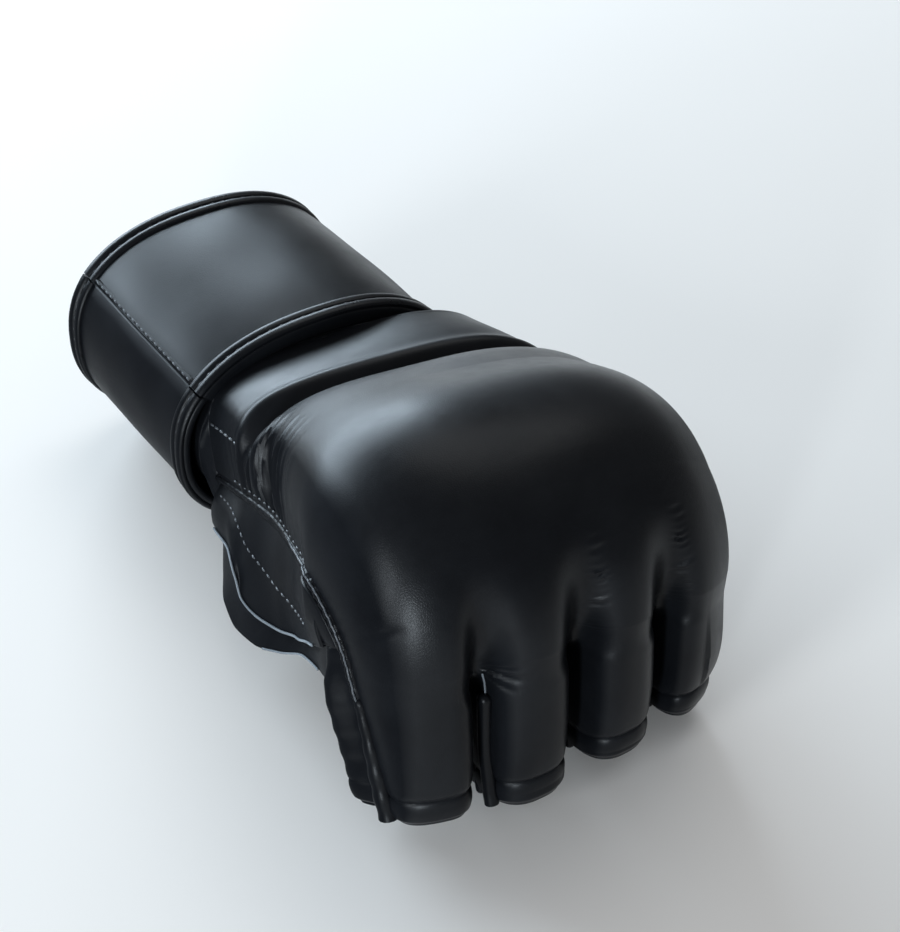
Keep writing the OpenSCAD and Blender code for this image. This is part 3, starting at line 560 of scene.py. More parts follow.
# %% [markdown]
# Finishes are node trees. They could be wired by hand in the shader editor, but a script can be read and run
# again. So that shader maths reads as plain arithmetic, a Value wraps a socket, and every operator adds a
# Math node.


# %% Shader arithmetic
class Value:
    """Shader value whose arithmetic adds Math nodes."""

    def __init__(self, finish, socket):
        self.finish, self.socket = finish, socket

    def math(self, operation, other):
        """Math node of this value and another value or a number."""
        return self.finish.node("ShaderNodeMath", {"operation": operation}, {0: self, 1: other})

    def __add__(self, other):
        return self.math("ADD", other)

    def __mul__(self, other):
        return self.math("MULTIPLY", other)

    __radd__, __rmul__ = __add__, __mul__


print("operators of a shader value: + and *")

# %% [markdown]
# All other nodes of a finish come from one method, which sets the node's own settings first and then its
# sockets. The short methods after it name what leather and cloth are built from: noise, a range, a mix of
# two colours and a relief.


# %% Finish under construction
class Finish:
    """Material under construction: its tree, its shader and the object coordinates."""

    def __init__(self, name):
        self.material = bpy.data.materials.new(name)
        self.material.use_nodes = True
        self.tree = self.material.node_tree
        self.shader = self.tree.nodes["Principled BSDF"]
        self.place = self.node("ShaderNodeTexCoord", output="Object")

    def put(self, socket, value):
        """Link a Value to a socket, or write a plain number, colour or vector into it."""
        if isinstance(value, Value):
            self.tree.links.new(value.socket, socket)
        else:
            socket.default_value = value

    def node(self, kind, settings=None, sockets=None, output=0):
        """New node: its own settings first, then its sockets; gives one of its outputs."""
        made = self.tree.nodes.new(kind)
        for key, value in (settings or {}).items():
            setattr(made, key, value)
        for key, value in (sockets or {}).items():
            self.put(made.inputs[key], value)
        return Value(self, made.outputs[output])

    def set(self, **sockets):
        """Fill sockets of the shader; an underscore stands for the space in a socket's name."""
        for key, value in sockets.items():
            self.put(self.shader.inputs[key.replace("_", " ")], value)

    def noise(self, scale, detail=3.0, rough=0.5):
        """Noise over the object coordinates, with its scale per metre."""
        return self.node("ShaderNodeTexNoise", {}, {"Vector": self.place, "Scale": scale, "Detail": detail,
                                                    "Roughness": rough})

    def spread(self, value, low, high, to_low=0.0, to_high=1.0):
        """Value from low to high carried over to the range to_low to to_high, and held there."""
        return self.node("ShaderNodeMapRange", {}, {"Value": value, "From Min": low, "From Max": high,
                                                    "To Min": to_low, "To Max": to_high})

    def colours(self, share, first, second):
        """Colour mixed from first to second by a share."""
        ends = {"Factor": share, 6: (*first, 1), 7: (*second, 1)}
        return self.node("ShaderNodeMix", {"data_type": "RGBA"}, ends, output=2)

    def bump(self, height, distance):
        """Normal of a relief that is distance metres deep where height goes from 0 to 1."""
        return self.node("ShaderNodeBump", {}, {"Height": height, "Distance": distance, "Strength": 1.0})


print("parts of a finish:", [name for name in vars(Finish) if "_" not in name])

# %% [markdown]
# Glove leather is dyed black and finished with a thin lacquer. Up close it has a fine pebble of cells under
# a millimetre wide with thin valleys between them, broad soft unevenness from the hide, and a gloss that
# is a little duller where it was handled. The walls carry painted shade: where the normal points to either
# side, a second shader with an IOR close to 1 reflects almost nothing, mixed in by the square of the normal's
# X. An image texture could do all this, but noise and Voronoi cells need no unwrapping and stay sharp at any
# size. Cut edges show the grey core of the hide, made pale enough to carry a painted highlight as well.


# %% Leather
# painted shade on the walls: the second IOR hardly reflects, and it takes over as the normal's X squared goes
# from the first share to the second
GLOSSY_IOR, PAINTED_SHADE_IOR = 1.26, 1.06
SHADE_WALL_FROM, SHADE_WALL_FULL = 0.35, 0.65


def leather(name, dark, light, gloss, cell=0.0006, depth=0.000016):
    """Black leather: drifting gloss, painted shade on the side walls from a shader that hardly reflects, and
    a relief of Voronoi valleys and soft noise.
    """
    f = Finish(name)
    facing = f.node("ShaderNodeSeparateXYZ", {}, {"Vector": f.node("ShaderNodeNewGeometry", output="Normal")})
    # painted shade: the side walls, found by the normal's X, get the shader that hardly reflects
    wall = f.spread(facing * facing, SHADE_WALL_FROM, SHADE_WALL_FULL)
    drift = f.noise(45.0, 4.0, 0.6)
    hide = f.noise(420.0, 4.0, 0.6)
    cells = f.node("ShaderNodeTexVoronoi", {"feature": "DISTANCE_TO_EDGE"},
                   {"Vector": f.place, "Scale": 1 / cell, "Randomness": 1.0}, output="Distance")
    valley = f.spread(cells, 0.0, 0.16)
    tint = f.colours(f.spread(drift, 0.32, 0.7), dark, light)
    rough = f.spread(drift + 0.35 * hide, 0.45, 0.9, gloss - 0.05, gloss + 0.07)
    relief = f.bump(0.6 * valley + 0.5 * hide, depth)
    f.set(Base_Color=tint, Roughness=rough, Normal=relief, IOR=GLOSSY_IOR)
    painted_shade_shader = f.node("ShaderNodeBsdfPrincipled", {},
                  {"Base Color": tint, "Roughness": rough, "Normal": relief, "IOR": PAINTED_SHADE_IOR})
    both = f.node("ShaderNodeMixShader", {}, {0: wall, 1: Value(f, f.shader.outputs[0]), 2: painted_shade_shader})
    f.tree.links.new(both.socket, f.tree.nodes["Material Output"].inputs["Surface"])
    return f.material


BLACK = leather("black_leather", (0.0045, 0.005, 0.0062), (0.008, 0.0088, 0.0105), 0.33)
ROLLED = leather("rolled_leather", (0.0042, 0.0047, 0.0058), (0.0075, 0.0082, 0.0098), 0.3, 0.0005, 0.000018)
# cut edges: the grey core of the hide, made pale enough that their beads carry a painted highlight
CUT_EDGE_AND_HIGHLIGHT = leather("cut_edge_and_highlight", (0.12, 0.135, 0.15), (0.25, 0.275, 0.3), 0.5, 0.0005, 0.00006)
print("leathers:", [finish.name for finish in (BLACK, ROLLED, CUT_EDGE_AND_HIGHLIGHT)])

# %% [markdown]
# Waxed thread is dark; its colour here is a shade lighter than the leather, a painted highlight, so that a
# row of stitches shows bright.
# The lining is a matt cloth with a fine weave, and the fastening tapes have a pile of loops or hooks in
# rows. Fibres this fine would be too many faces as a mesh, so colour and bump show them.


# %% Thread, cloth and tape
# length of half a wave of the Wave Texture at scale 1
HALF_WAVE = 0.16


def cloth(name, first, second, pitch, rough, depth):
    """Woven cloth: two sine bands at right angles on object coordinates, with a speckle of fibres."""
    f = Finish(name)
    bands = {"Vector": f.place, "Scale": HALF_WAVE / pitch, "Distortion": 0.6, "Detail": 1.0}
    warp, weft = (f.node("ShaderNodeTexWave", {"bands_direction": q}, bands, output="Fac") for q in "XY")
    fibre = f.noise(900.0, 3.0, 0.7)
    f.set(Base_Color=f.colours(0.5 * warp * weft + 0.5 * fibre, first, second),
          Roughness=f.spread(fibre, 0.3, 0.7, rough - 0.06, rough + 0.06),
          Normal=f.bump(warp * weft + 0.4 * fibre, depth))
    return f.material


def speckled(name, first, second, size, rough, depth):
    """Fine fibres: Voronoi cells of the given size that tint the colour and raise the surface."""
    f = Finish(name)
    cells = f.node("ShaderNodeTexVoronoi", {}, {"Vector": f.place, "Scale": 1 / size}, output="Distance")
    drift = f.noise(120.0, 3.0)
    f.set(Base_Color=f.colours(f.spread(cells + 0.4 * drift, 0.2, 1.0), first, second),
          Roughness=f.spread(drift, 0.3, 0.7, rough - 0.05, rough + 0.05), Normal=f.bump(cells, depth))
    return f.material


# painted highlight: the thread's colour is lighter than the dark thread itself; the beads on the side welts
# use it too
THREAD_AND_HIGHLIGHT = speckled("waxed_thread_and_highlight", (0.025, 0.028, 0.033), (0.065, 0.072, 0.082), 0.0004, 0.4, 0.00006)
CLOTH = cloth("lining_cloth", (0.016, 0.017, 0.019), (0.035, 0.037, 0.041), 0.0008, 0.82, 0.00012)
LOOPS = speckled("loop_tape", (0.009, 0.0095, 0.0105), (0.03, 0.031, 0.034), 0.0006, 0.92, 0.0003)
HOOKS = cloth("hook_tape", (0.008, 0.0085, 0.0095), (0.03, 0.032, 0.035), 0.0013, 0.55, 0.0004)
print("other finishes:", [finish.name for finish in (THREAD_AND_HIGHLIGHT, CLOTH, LOOPS, HOOKS)])

# %% [markdown]
# The knuckle pad is one padded leather dome over the back of the hand. It could be inflated by simulation,
# but its form is known: an arch across the hand, a height along it, and grooves that fade in where the
# fingers part. Its grid has columns that crowd together at the grooves, where the leather turns most.

# %% Grid of the knuckle pad
PAD_COLUMNS = 52
ROW_SLIT = 0.15 / BACK_LEN
pad_u = np.cos(np.linspace(0, np.pi, PAD_COLUMNS))
column_finger = np.concatenate([np.zeros(1, int), np.repeat(np.arange(4), PAD_COLUMNS - 1)])[None, :]
column_u = np.concatenate([pad_u[:1], np.tile(pad_u[1:], 4)])[None, :]
columns = (column_finger, column_u)


def stretches(*runs):
    """Stations in runs of their own spacing, each as first, last and count; shared ends are kept once."""
    return np.concatenate([np.linspace(*run)[:-1] for run in runs[:-1]] + [np.linspace(*runs[-1])])


def space_at(i, u, v, extra):
    """Surface of the hand space under finger i, raised by extra towards the padding."""
    x = FINGER_X[i] + u * finger_half(i, u, v)[0]
    k = x / half_w(x, v)
    return back_at(k, v, through(SPACE, v) + extra, LINING_SIDE + LINING - extra)


print("columns across the pad:", column_u.size)

# %% [markdown]
# Folds turn a smooth form into leather. They could be sculpted, but formulas can be read and changed. Each
# one gives a height in millimetres, which is then added along the normals. First come the gathers on the
# thumb side, where the pad is eased into the seam, and the slow unevenness of the hide.

# %% Gathers and hide
GATHER_AT, GATHER_PITCH, GATHER_FINE, GATHER_H = 0.54, 4.6, 2.2, 1.7


def wall_height(i, u, v):
    """Share of the padding's height at this place, and whether it lies on the thumb side's wall."""
    k = (FINGER_X[i] + u * finger_half(i, u, v)[0]) / half_w(1, v)
    return arch(np.clip(k, 0, 1), section_n(1, v)), (i == 0) & (u > 0)


def gathers(i, u, v):
    """Upright folds on the thumb side's wall near the groove: bent cosines that die out with distance."""
    height, outer = wall_height(i, u, v)
    y = v * BACK_LEN
    wander = 1.3 * np.sin(0.43 * y + 1.0) + 0.9 * np.sin(3.0 * height + 0.3 * y)
    crest = (0.5 + 0.5 * np.cos(2 * np.pi * y / GATHER_PITCH + wander)) ** 3
    crest = crest + 0.35 * (0.5 + 0.5 * np.cos(2 * np.pi * y / GATHER_FINE + 2 * wander)) ** 2
    reach = bell(v - GATHER_AT, 0.2) * (1 - ease((height - 0.45) / 0.5)) * ease(height / 0.1)
    return np.where(outer, GATHER_H * (crest - 0.4) * reach, 0)


def hide_drift(p, size=26.0, depth=0.18):
    """Slow unevenness of the hide: a sum of sines over the place in the hand frame."""
    x, y, z = np.moveaxis(p, -1, 0) / size
    waves = (np.sin(2.1 * x + 1.3 * y + 0.4) + np.sin(1.7 * y - 2.3 * z + 1.9)
             + np.sin(2.9 * z + 1.1 * x + 0.8) + 0.6 * np.sin(4.3 * x - 3.1 * y + 2.2)
             + 0.6 * np.sin(5.1 * y + 3.7 * z))
    return depth * waves / 2


print("gathers every", GATHER_PITCH, "mm")

# %% [markdown]
# Where the fingers part, the leather is short of room. It puckers at the top of the two grooves on the
# little-finger side, and a fan of folds spreads from the crotch between index and middle finger.

# %% Puckers and fan
PUCKER_AT, PUCKER_U, PUCKER_PITCH, PUCKER_H = 1.8, 0.66, 2.1, 0.4
# about the length of the leather over the knuckle bend
BEND_RUN = 73.0
FAN_FOLDS, FAN_R, FAN_H = 13.0, 4.8, 0.42


def puckers(i, u, v):
    """Short ripples along the last two grooves before the little finger, close to where they fade in."""
    s = (v - 1.0) * BEND_RUN
    bent = s + (3.0 + 2.0 * np.sin(0.31 * s + i)) * np.abs(u - PUCKER_U)
    swing = 2.2 * np.sin(0.37 * s + 1.7 * i)
    strength = 0.55 + 0.45 * np.sin(0.83 * s + 2.0 * i)
    ripple = np.cos(2 * np.pi * bent / PUCKER_PITCH + swing) * strength
    reach = bell(u - PUCKER_U - 0.06 * np.sin(0.6 * s), 0.15) * bell(v - PUCKER_AT, 0.16)
    return np.where(i >= 2, PUCKER_H * ripple * reach, 0)


def fan(i, u, v):
    """Fan of folds from the crotch between index and middle finger: a cosine of the angle round it."""
    across = (1 - u) * FINGER_W[1] / 2
    down = (v - CROTCH_AT) * FINGER_RUN + 1.0
    r, turn = np.hypot(across, down), np.arctan2(down, across)
    fold = np.cos(FAN_FOLDS * turn + 0.35 * np.sin(r) - 1.0)
    return np.where(i == 1, FAN_H * fold * bell(r - FAN_R, 3.0) * bell(turn - 0.45, 0.6), 0)


print("puckers every", PUCKER_PITCH, "mm, folds of the fan at", FAN_R, "mm from the crotch")

# %% [markdown]
# The pad is then one slab from the hand space to the raised leather. A lip rises where it is sewn to the
# ridge roll, and a dent marks its shoulder above the index finger.

# %% Knuckle pad
pad_v = stretches((GROOVE_AT + ROW_SLIT, 0.86, 76), (0.86, 1.4, 26), (1.4, CROTCH_AT, 100))[:, None]
pad_outer = finger_front(*columns, pad_v)
pad_inner = space_at(*columns, pad_v, LINING + GAP)
shoulder = (column_finger == 0) * bell(column_u - 0.72, 0.2) * bell((pad_v - 1.78) * 50, 1.0)
lip = bell((pad_v - GROOVE_AT) * BACK_LEN - 0.9, 0.8)
pad_lift = (hide_drift(pad_outer) + gathers(*columns, pad_v) + puckers(*columns, pad_v) + fan(*columns, pad_v)
            - 0.4 * shoulder + 0.4 * lip)
pad_outer = raised(pad_outer, pad_inner, pad_lift)
knuckle_pad = make_piece("knuckle_pad", [slab(pad_outer, pad_inner, roll=0.0)], [BLACK])
on_body(knuckle_pad, "glove", "knuckle_shell", "knuckle_foam")

# %% [markdown]
# Behind the pad lies the ridge roll, a padded strip with a crisp crest towards the knuckles. It is cut from
# the same form as the pad, so that the two meet along the sewn groove. Under both runs the cloth lining of
# the hand space, a thin slab on the inner form.

# %% Ridge roll and lining
ridge_v = stretches((0.0, 0.2, 26), (0.2, GROOVE_AT - ROW_SLIT, 34))[:, None]
ridge_outer = finger_front(*columns, ridge_v)
ridge_inner = space_at(*columns, ridge_v, LINING + GAP)
crest = bell((ridge_v - 0.3) * BACK_LEN, 2.4)
ridge_lift = hide_drift(ridge_outer) + gathers(*columns, ridge_v) + 0.7 * crest
ridge_outer = raised(ridge_outer, ridge_inner, ridge_lift)
SEAM_K = 0.985
seam_v = np.linspace(0.03, 0.3, 40)
seam_line = back_at(SEAM_K, seam_v, through(CROWN, seam_v), 0)
ridge_thread = stitches(seam_line, seam_line + np.array([1.0, 0, 0.2]))
ridge_parts = [slab(ridge_outer, ridge_inner, roll=0.0), ridge_thread]
ridge_roll = make_piece("ridge_roll", ridge_parts, [BLACK, THREAD_AND_HIGHLIGHT])
on_body(ridge_roll, "glove", "ridge_cover", "ridge_foam")

lining_v = np.linspace(0.0, CROTCH_AT, 90)[:, None]
lining_outer, lining_inner = (space_at(column_finger[:, ::3], column_u[:, ::3], lining_v, extra)
                              for extra in (LINING, 0.0))
back_lining = make_piece("back_lining_cloth", [slab(lining_outer, lining_inner)], [CLOTH])
on_body(back_lining, "glove", "back_lining")

# %% [markdown]
# Each finger is a short sleeve: a padded front that runs on from the knuckle pad, a loop of plain leather
# round the sides and back, rolled welts on the two seams and a folded hem. One tube per finger would be
# quicker, but the seams between front and loop show. So both have their own surface and meet at the welts.

# %% Form of a finger sleeve
SLEEVE_COLUMNS = 64
LOOP_COLUMNS = 44
LOOP_N = 3.2
sleeve_u = np.cos(np.linspace(0, np.pi, SLEEVE_COLUMNS))[None, :]
loop_turn = np.linspace(np.pi / 2, 3 * np.pi / 2, LOOP_COLUMNS)[None, :]


def finger_space(i, u, v, inset):
    """Surface of the finger space: a finger arch over the seam."""
    side = finger_half(i, u, v)[0] - FINGER_GAP / 2 - inset
    h = FINGER_SEAM_GAP + (through(SPACE, v) - FINGER_SEAM_GAP) * arch(u, FINGER_N)
    return place(FINGER_X[i] + u * side, h, v)


def finger_loop(i, turn, v, inset):
    """Loop round the sides and back of finger i: half a superellipse, swollen on the index's outer side."""
    u = signed_pow(np.sin(turn), 2 / LOOP_N)
    side = finger_half(i, u, v)[0] - FINGER_GAP / 2 - inset
    swell = np.where((i == 0) & (u > 0), through(LOOP_SWELL, v) * np.maximum(0, -np.sin(2 * turn)), 0)
    drop = (through(PALM, v) - inset - FINGER_SEAM_GAP) * np.abs(np.cos(turn)) ** (2 / LOOP_N)
    return place(FINGER_X[i] + u * side + swell, -FINGER_SEAM_GAP - drop, v)


print("sleeves without their hems, in mm:", FINGER_LEN - HEM_H - CROTCH_DROP)

# %% [markdown]
# The front and the loop carry on over the finger root, where the real leather bends. A stiff piece would
# tear away from the hand there, and both are stiff: they are baked where they lie, not blended.

# %% Front and loop of a sleeve
PAD_FULL = 5.5
RIPPLE_PITCH = 6.5


def bend_at_root(piece, i):
    """Bake a sleeve's placement into its mesh; the top of finger i at the crotch is worked out but not used.
    """
    top = finger_front(i, np.array([-1.0, 0.0, 1.0]), np.array(CROTCH_AT))
    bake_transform(piece)


def add_front(i, name):
    """Padded front: its fullness d^2 (1 - d) is greatest two thirds of the way down; the hem tucks it in."""
    v = np.linspace(CROTCH_AT, HEM_AT[i], 56)[:, None]
    front, inner = finger_front(i, sleeve_u, v), finger_space(i, sleeve_u, v, FOAM_OUT + 1.6)
    tuck = bell((HEM_AT[i] - v) * FINGER_RUN, 1.2)
    down = (v - CROTCH_AT) / (HEM_AT[i] - CROTCH_AT)
    outer = finger_half(i, sleeve_u, v)[1]
    crowned = 1 - np.abs(sleeve_u) ** np.where(outer, 10, 4)
    full = np.where(outer & (i == 3), 2, 1) * PAD_FULL * down**2 * (1 - down) * crowned
    lift = full + hide_drift(front) + fan(i, sleeve_u, v) - 0.5 * tuck
    sleeve = make_piece(name + "_sleeve", [slab(raised(front, inner, lift), inner, roll=0.0)], [BLACK])
    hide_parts(name + "_pad", name + "_foam")
    bend_at_root(sleeve, i)


def add_loop(i, name):
    """Loop of plain leather, with ripples along it that bend round the finger."""
    v = np.linspace(CROTCH_AT - (0.25 if i == 0 else 0.02), HEM_AT[i], 44)[:, None]
    out, inside = finger_loop(i, loop_turn, v, 0.0), finger_loop(i, loop_turn, v, LEATHER)
    wave = 2 * np.pi * (v - CROTCH_AT) * FINGER_RUN / RIPPLE_PITCH
    ripple = 0.25 * np.sin(wave + 1.5 * np.sin(loop_turn * 2 + i))
    out = raised(out, inside, hide_drift(out) + ripple * np.sin(loop_turn) ** 2 * 0.8)
    loop = make_piece(name + "_loop_leather", [slab(out, inside)], [BLACK])
    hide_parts(name + "_loop")
    bend_at_root(loop, i)


# %% [markdown]
# The hem rides on the finger. It is a ring of front and loop together, swollen by the fold inside it. A torus
# would be round, but this ring keeps the finger's own outline.

# %% Hem of a sleeve
HEM_INSET = 0.35


def hem_ring(i, v, inset):
    """Closed ring round finger i: its front from thumb side to little-finger side, then its loop back."""
    front = finger_front(i, sleeve_u[:, 1:-1], v, inset)
    return np.concatenate([front, finger_loop(i, loop_turn[:, ::-1], v, inset)], axis=1)


def add_hem(i, name):
    """Folded hem: a swollen ring that draws in at its end, with stitches round the back."""
    v = np.linspace(HEM_AT[i], FINGER_END[i], 18)[:, None]
    out, inside = hem_ring(i, v, HEM_INSET), hem_ring(i, v, LEATHER + HEM_INSET)
    share = (v - HEM_AT[i]) / (FINGER_END[i] - HEM_AT[i])
    swell = 0.75 * np.sin(np.pi * share ** 0.7) - 0.9 * ease((share - 0.75) / 0.25)
    out = raised(out, inside, swell, wrap=True)
    line_v = np.full(LOOP_COLUMNS, HEM_AT[i] + 0.03)
    thread = [finger_loop(i, loop_turn[0], line_v, HEM_INSET - up) for up in (0.0, 1.0)]
    parts = [slab(out, inside, wrap=True), stitches(*thread, 2.8, 2.0)]
    hem = make_piece(name + "_hem_fold", parts, [BLACK, THREAD_AND_HIGHLIGHT])
    on_body(hem, name + "_finger", name + "_hem")


print("hems", HEM_H, "mm high")

# %% [markdown]
# The welts ride on the finger too. They are tubes that grow towards the hem. The middle finger has one roll
# more, down its flank, with a thin pale edge above it that is a painted highlight. Then all four fingers are
# made, part by part.

# %% Welts of a sleeve
ROLL_U, ROLL_R, ROLL_FROM = (0.86, 0.94), 1.75, 2.3
# radius at the root and at the end, and the share of it that is sunk
PLAIN_WELT, FAT_WELT = (0.9, 1.3, 0.7), (1.5, 2.5, -0.25)


def flank_roll(i):
    """Fat roll down the thumb-side flank of a finger, under a thin pale edge, a painted highlight, that comes
    from the crotch.
    """
    v = np.linspace(CROTCH_AT + 0.02, FINGER_END[i] - 0.01, 56)
    u = mix(*ROLL_U, ease((v - v[0]) / 0.7))
    flank, deep = finger_front(i, u, v), finger_front(i, u, v, 1.0)
    out = (flank - deep) / np.linalg.norm(flank - deep, axis=1, keepdims=True)
    roll = tube((flank + 0.4 * ROLL_R * out)[v > ROLL_FROM], ROLL_R, hollow=2.5)
    # painted highlight: a thin bead in the pale cut-edge colour along the flank
    edge = tube((flank + 0.3 * out)[v < ROLL_FROM + 0.02], 0.24, finish=1)
    return [roll, edge]


def add_welts(i, name):
    """Rolled welts down both seams, which grow towards the hem; the index finger's outer one is fat."""
    v = np.linspace(CROTCH_AT + 0.16, FINGER_END[i] - 0.01, 48)
    tubes = []
    for side in (1, -1):
        slim, fat, sunk = FAT_WELT if side > 0 and i == 0 else PLAIN_WELT
        r = mix(slim, fat, ease((v - v[0]) / 0.6)) * (1 + 0.05 * np.sin(40 * v + i))
        x = FINGER_X[i] + side * (finger_half(i, side, v)[0] - FINGER_GAP / 2 - sunk * r)
        tubes.append(tube(place(x, 0.4 + 0.3 * r, v), r, hollow=3.0 * (sunk < 0)))
    if name == "middle":
        tubes += flank_roll(i)
    welts = make_piece(name + "_welt_rolls", tubes, [ROLLED, CUT_EDGE_AND_HIGHLIGHT])
    on_body(welts, name + "_finger", name + "_welts")


for i, name in enumerate(FINGERS):
    for add_part in (add_front, add_loop, add_hem, add_welts):
        add_part(i, name)

# %% [markdown]
# Along each side of the hand a rolled welt closes the seam between the back and the palm. It could be a
# bevelled curve, but its thickness varies, so it is a tube of rings on the seam line. A thin bead in the
# thread's pale colour runs on it past the knuckles, a painted highlight along its edge, and short stitches
# show beside it. Two rolls behind it stand for the turned-in leather, and they close the gap between back and
# palm.

# %% Side welts
SEAM_TUCK, SLIM_WELT_R = 0.3, 0.95
# depth behind the welt, height above the seam and radius of each hidden roll
HIDDEN_ROLLS = [(1.6, -1.6, 2.2), (1.8, 0.3, 2.1)]
THREAD_H = SEAM_GAP + 1.2
side_v = stretches((0.02, 1, 120), (1, CROTCH_AT + 0.15, 90))


def by_seam(side, v, out, h):
    """Line along a side seam, out from the hand's half width and h above the seam."""
    return place(side * (half_w(side, v) + out), h, v)


for side, name in ((1, "radial"), (-1, "ulnar")):
    uneven = 1 + 0.08 * np.sin(side_v * 61) + 0.05 * np.sin(side_v * 147 + 1)
    r = mix(SLIM_WELT_R, WELT_R, ease((side_v - 0.9) / 0.25)) * uneven
    rolls = [tube(by_seam(side, side_v, -SEAM_TUCK, 0), r)]
    rolls += [tube(by_seam(side, side_v, -SEAM_TUCK - deep, h), wide) for deep, h, wide in HIDDEN_ROLLS]
    # painted highlight: a thin bead in the thread's pale colour along the welt's edge
    highlight_bead_v = side_v[side_v > 0.75]
    highlight_bead_out = 0.75 * np.interp(highlight_bead_v, side_v, r)
    highlight_bead_r = 0.3 * ease((highlight_bead_v - 0.72) / 0.15)
    rolls.append(tube(by_seam(side, highlight_bead_v, highlight_bead_out - SEAM_TUCK, highlight_bead_out), highlight_bead_r, 8, 1))
    sewn = side_v[(side_v > 0.2) & (side_v < 1.1)]
    thread = [by_seam(side, sewn, out, THREAD_H) for out in (0.15, 1.15)]
    rolls.append(stitches(*thread, 3.6, 1.6, 0.25))
    welt = make_piece(name + "_welt_roll", rolls, [ROLLED, THREAD_AND_HIGHLIGHT])
    on_body(welt, "glove", name + "_welt")

# %% [markdown]
# The palm is open. A frame of leather runs round the D-shaped palm hole, a second ply carries on across the
# finger roots, a band follows the thumb hole, and a stuffed grip bar is sewn across the roots. They could be
# cut out of one sheet with booleans, but each has its own stitched edge, so each is a grid between its own
# edges. All of them are places on the palm side, given as how far across and how far from the wrist.

# %% Form of the palm frame
PALM_IN, PALM_OUT = GAP, GAP + LEATHER
BAND_IN, BAND_OUT = PALM_OUT + GAP, PALM_OUT + GAP + LEATHER
PALM_HOLE, PALM_HOLE_HALF, PALM_HOLE_SLANT = np.array([-26.5, 43.0]), np.array([15.0, 28.0]), 0.1
THUMB_HOLE, THUMB_HOLE_HALF, BAND_W = np.array([22.0, 34.0]), np.array([27.0, 34.0]), 11.5
FRAME_CENTRE = np.array([-28.5, 38.5])
FRAME_HALF = np.array([THUMB_HOLE[0] - THUMB_HOLE_HALF[0] - 1.5 - FRAME_CENTRE[0], 36.5])
FRAME_SEAM, CORNER_N, SEAM_STRETCH = 0.16, 24, 1.15


def oval(centre, half, a, n):
    """Point of a superellipse at angle a: cos and sin of a to the power 2 / n, times its half sizes."""
    return centre + half * np.stack([signed_pow(np.cos(a), 2 / n), signed_pow(np.sin(a), 2 / n)], -1)


def palm_xy(p, o):
    """Palm side at a place [across, from the wrist]."""
    return palm_at(p[..., 0], p[..., 1] / BACK_LEN, o)


def palm_frame_at(t, a, o):
    """Palm frame from the hole's edge, t = 0, to its rim, t = 1, which runs along the little-finger seam."""
    hole = oval(PALM_HOLE, PALM_HOLE_HALF, a, 2.6)
    hole[..., 0] += PALM_HOLE_SLANT * (hole[..., 1] - PALM_HOLE[1])
    way = np.stack([np.cos(a), np.sin(a)], -1)
    reach = (np.abs(way) ** CORNER_N).sum(-1, keepdims=True) ** (-1 / CORNER_N)
    square = FRAME_CENTRE + FRAME_HALF * way * reach
    rim = np.where(way[..., :1] > 0, oval(FRAME_CENTRE, FRAME_HALF, a, 6), square)
    share = (rim[..., 0] - FRAME_CENTRE[0]) / FRAME_HALF[0]
    seam = -half_w(-1, rim[..., 1] / BACK_LEN) - o
    to_seam = mix(FRAME_CENTRE[0], seam, np.minimum(1, -SEAM_STRETCH * share))
    rim[..., 0] = np.where(share > 0, rim[..., 0], to_seam)
    return palm_xy(mix(hole, rim, t[..., None]), o)


print("palm hole", 2 * PALM_HOLE_HALF, "mm")

# %% [markdown]
# The frame is a closed ring from the edge of the hole to its rim. A row of stitches runs round the hole and
# presses a channel into the leather.

# %% Palm frame
ring_turn = np.linspace(0, 2 * np.pi, 180, endpoint=False)[None, :]
frame_t = np.sin(np.pi / 2 * np.linspace(0, 1, 30))[:, None]
frame_t, frame_a = np.broadcast_arrays(frame_t, ring_turn)
frame_out, frame_in = (palm_frame_at(frame_t, frame_a, o) for o in (PALM_OUT, PALM_IN))
channel = bell((frame_t - FRAME_SEAM) / 0.05, 1.0)
frame_out = raised(frame_out, frame_in, hide_drift(frame_out, 14.0, 0.15) - 0.3 * channel, wrap=True)
line_a = np.linspace(0.15, 2 * np.pi - 0.15, 300)
line_t = np.full(len(line_a), FRAME_SEAM)
frame_thread = stitches(*[palm_frame_at(line_t, line_a, PALM_OUT + up) for up in (-0.25, 1)])
frame_parts = [slab(frame_out, frame_in, wrap=True), frame_thread]
palm_frame = make_piece("palm_frame_leather", frame_parts, [BLACK, THREAD_AND_HIGHLIGHT])
on_body(palm_frame, "glove", "palm_frame")

# %% [markdown]
# The second ply starts at the palm frame and turns down over the finger roots. It is pressed into shallow
# valleys between the fingers and creases across where a fist folds it.

# %% Palm panel
PANEL_START, PANEL_END, PANEL_TUCK = 1 + 0.5 * GAP / BACK_LEN, 2.45, 0.82
VALLEY_PITCH = 24.0
panel_k = np.sin(np.pi / 2 * np.linspace(-1, 1, 130))[None, :]
panel_v = np.linspace(PANEL_START, PANEL_END, 90)[:, None]


def palm_panel_at(k, v, o):
    """Leather over the finger roots, drawn in past the bend."""
    width = (half_w(k, v) + o) * mix(1, PANEL_TUCK, ease((v - 1.9) / 0.2))
    return palm_at(k * width, v, o)


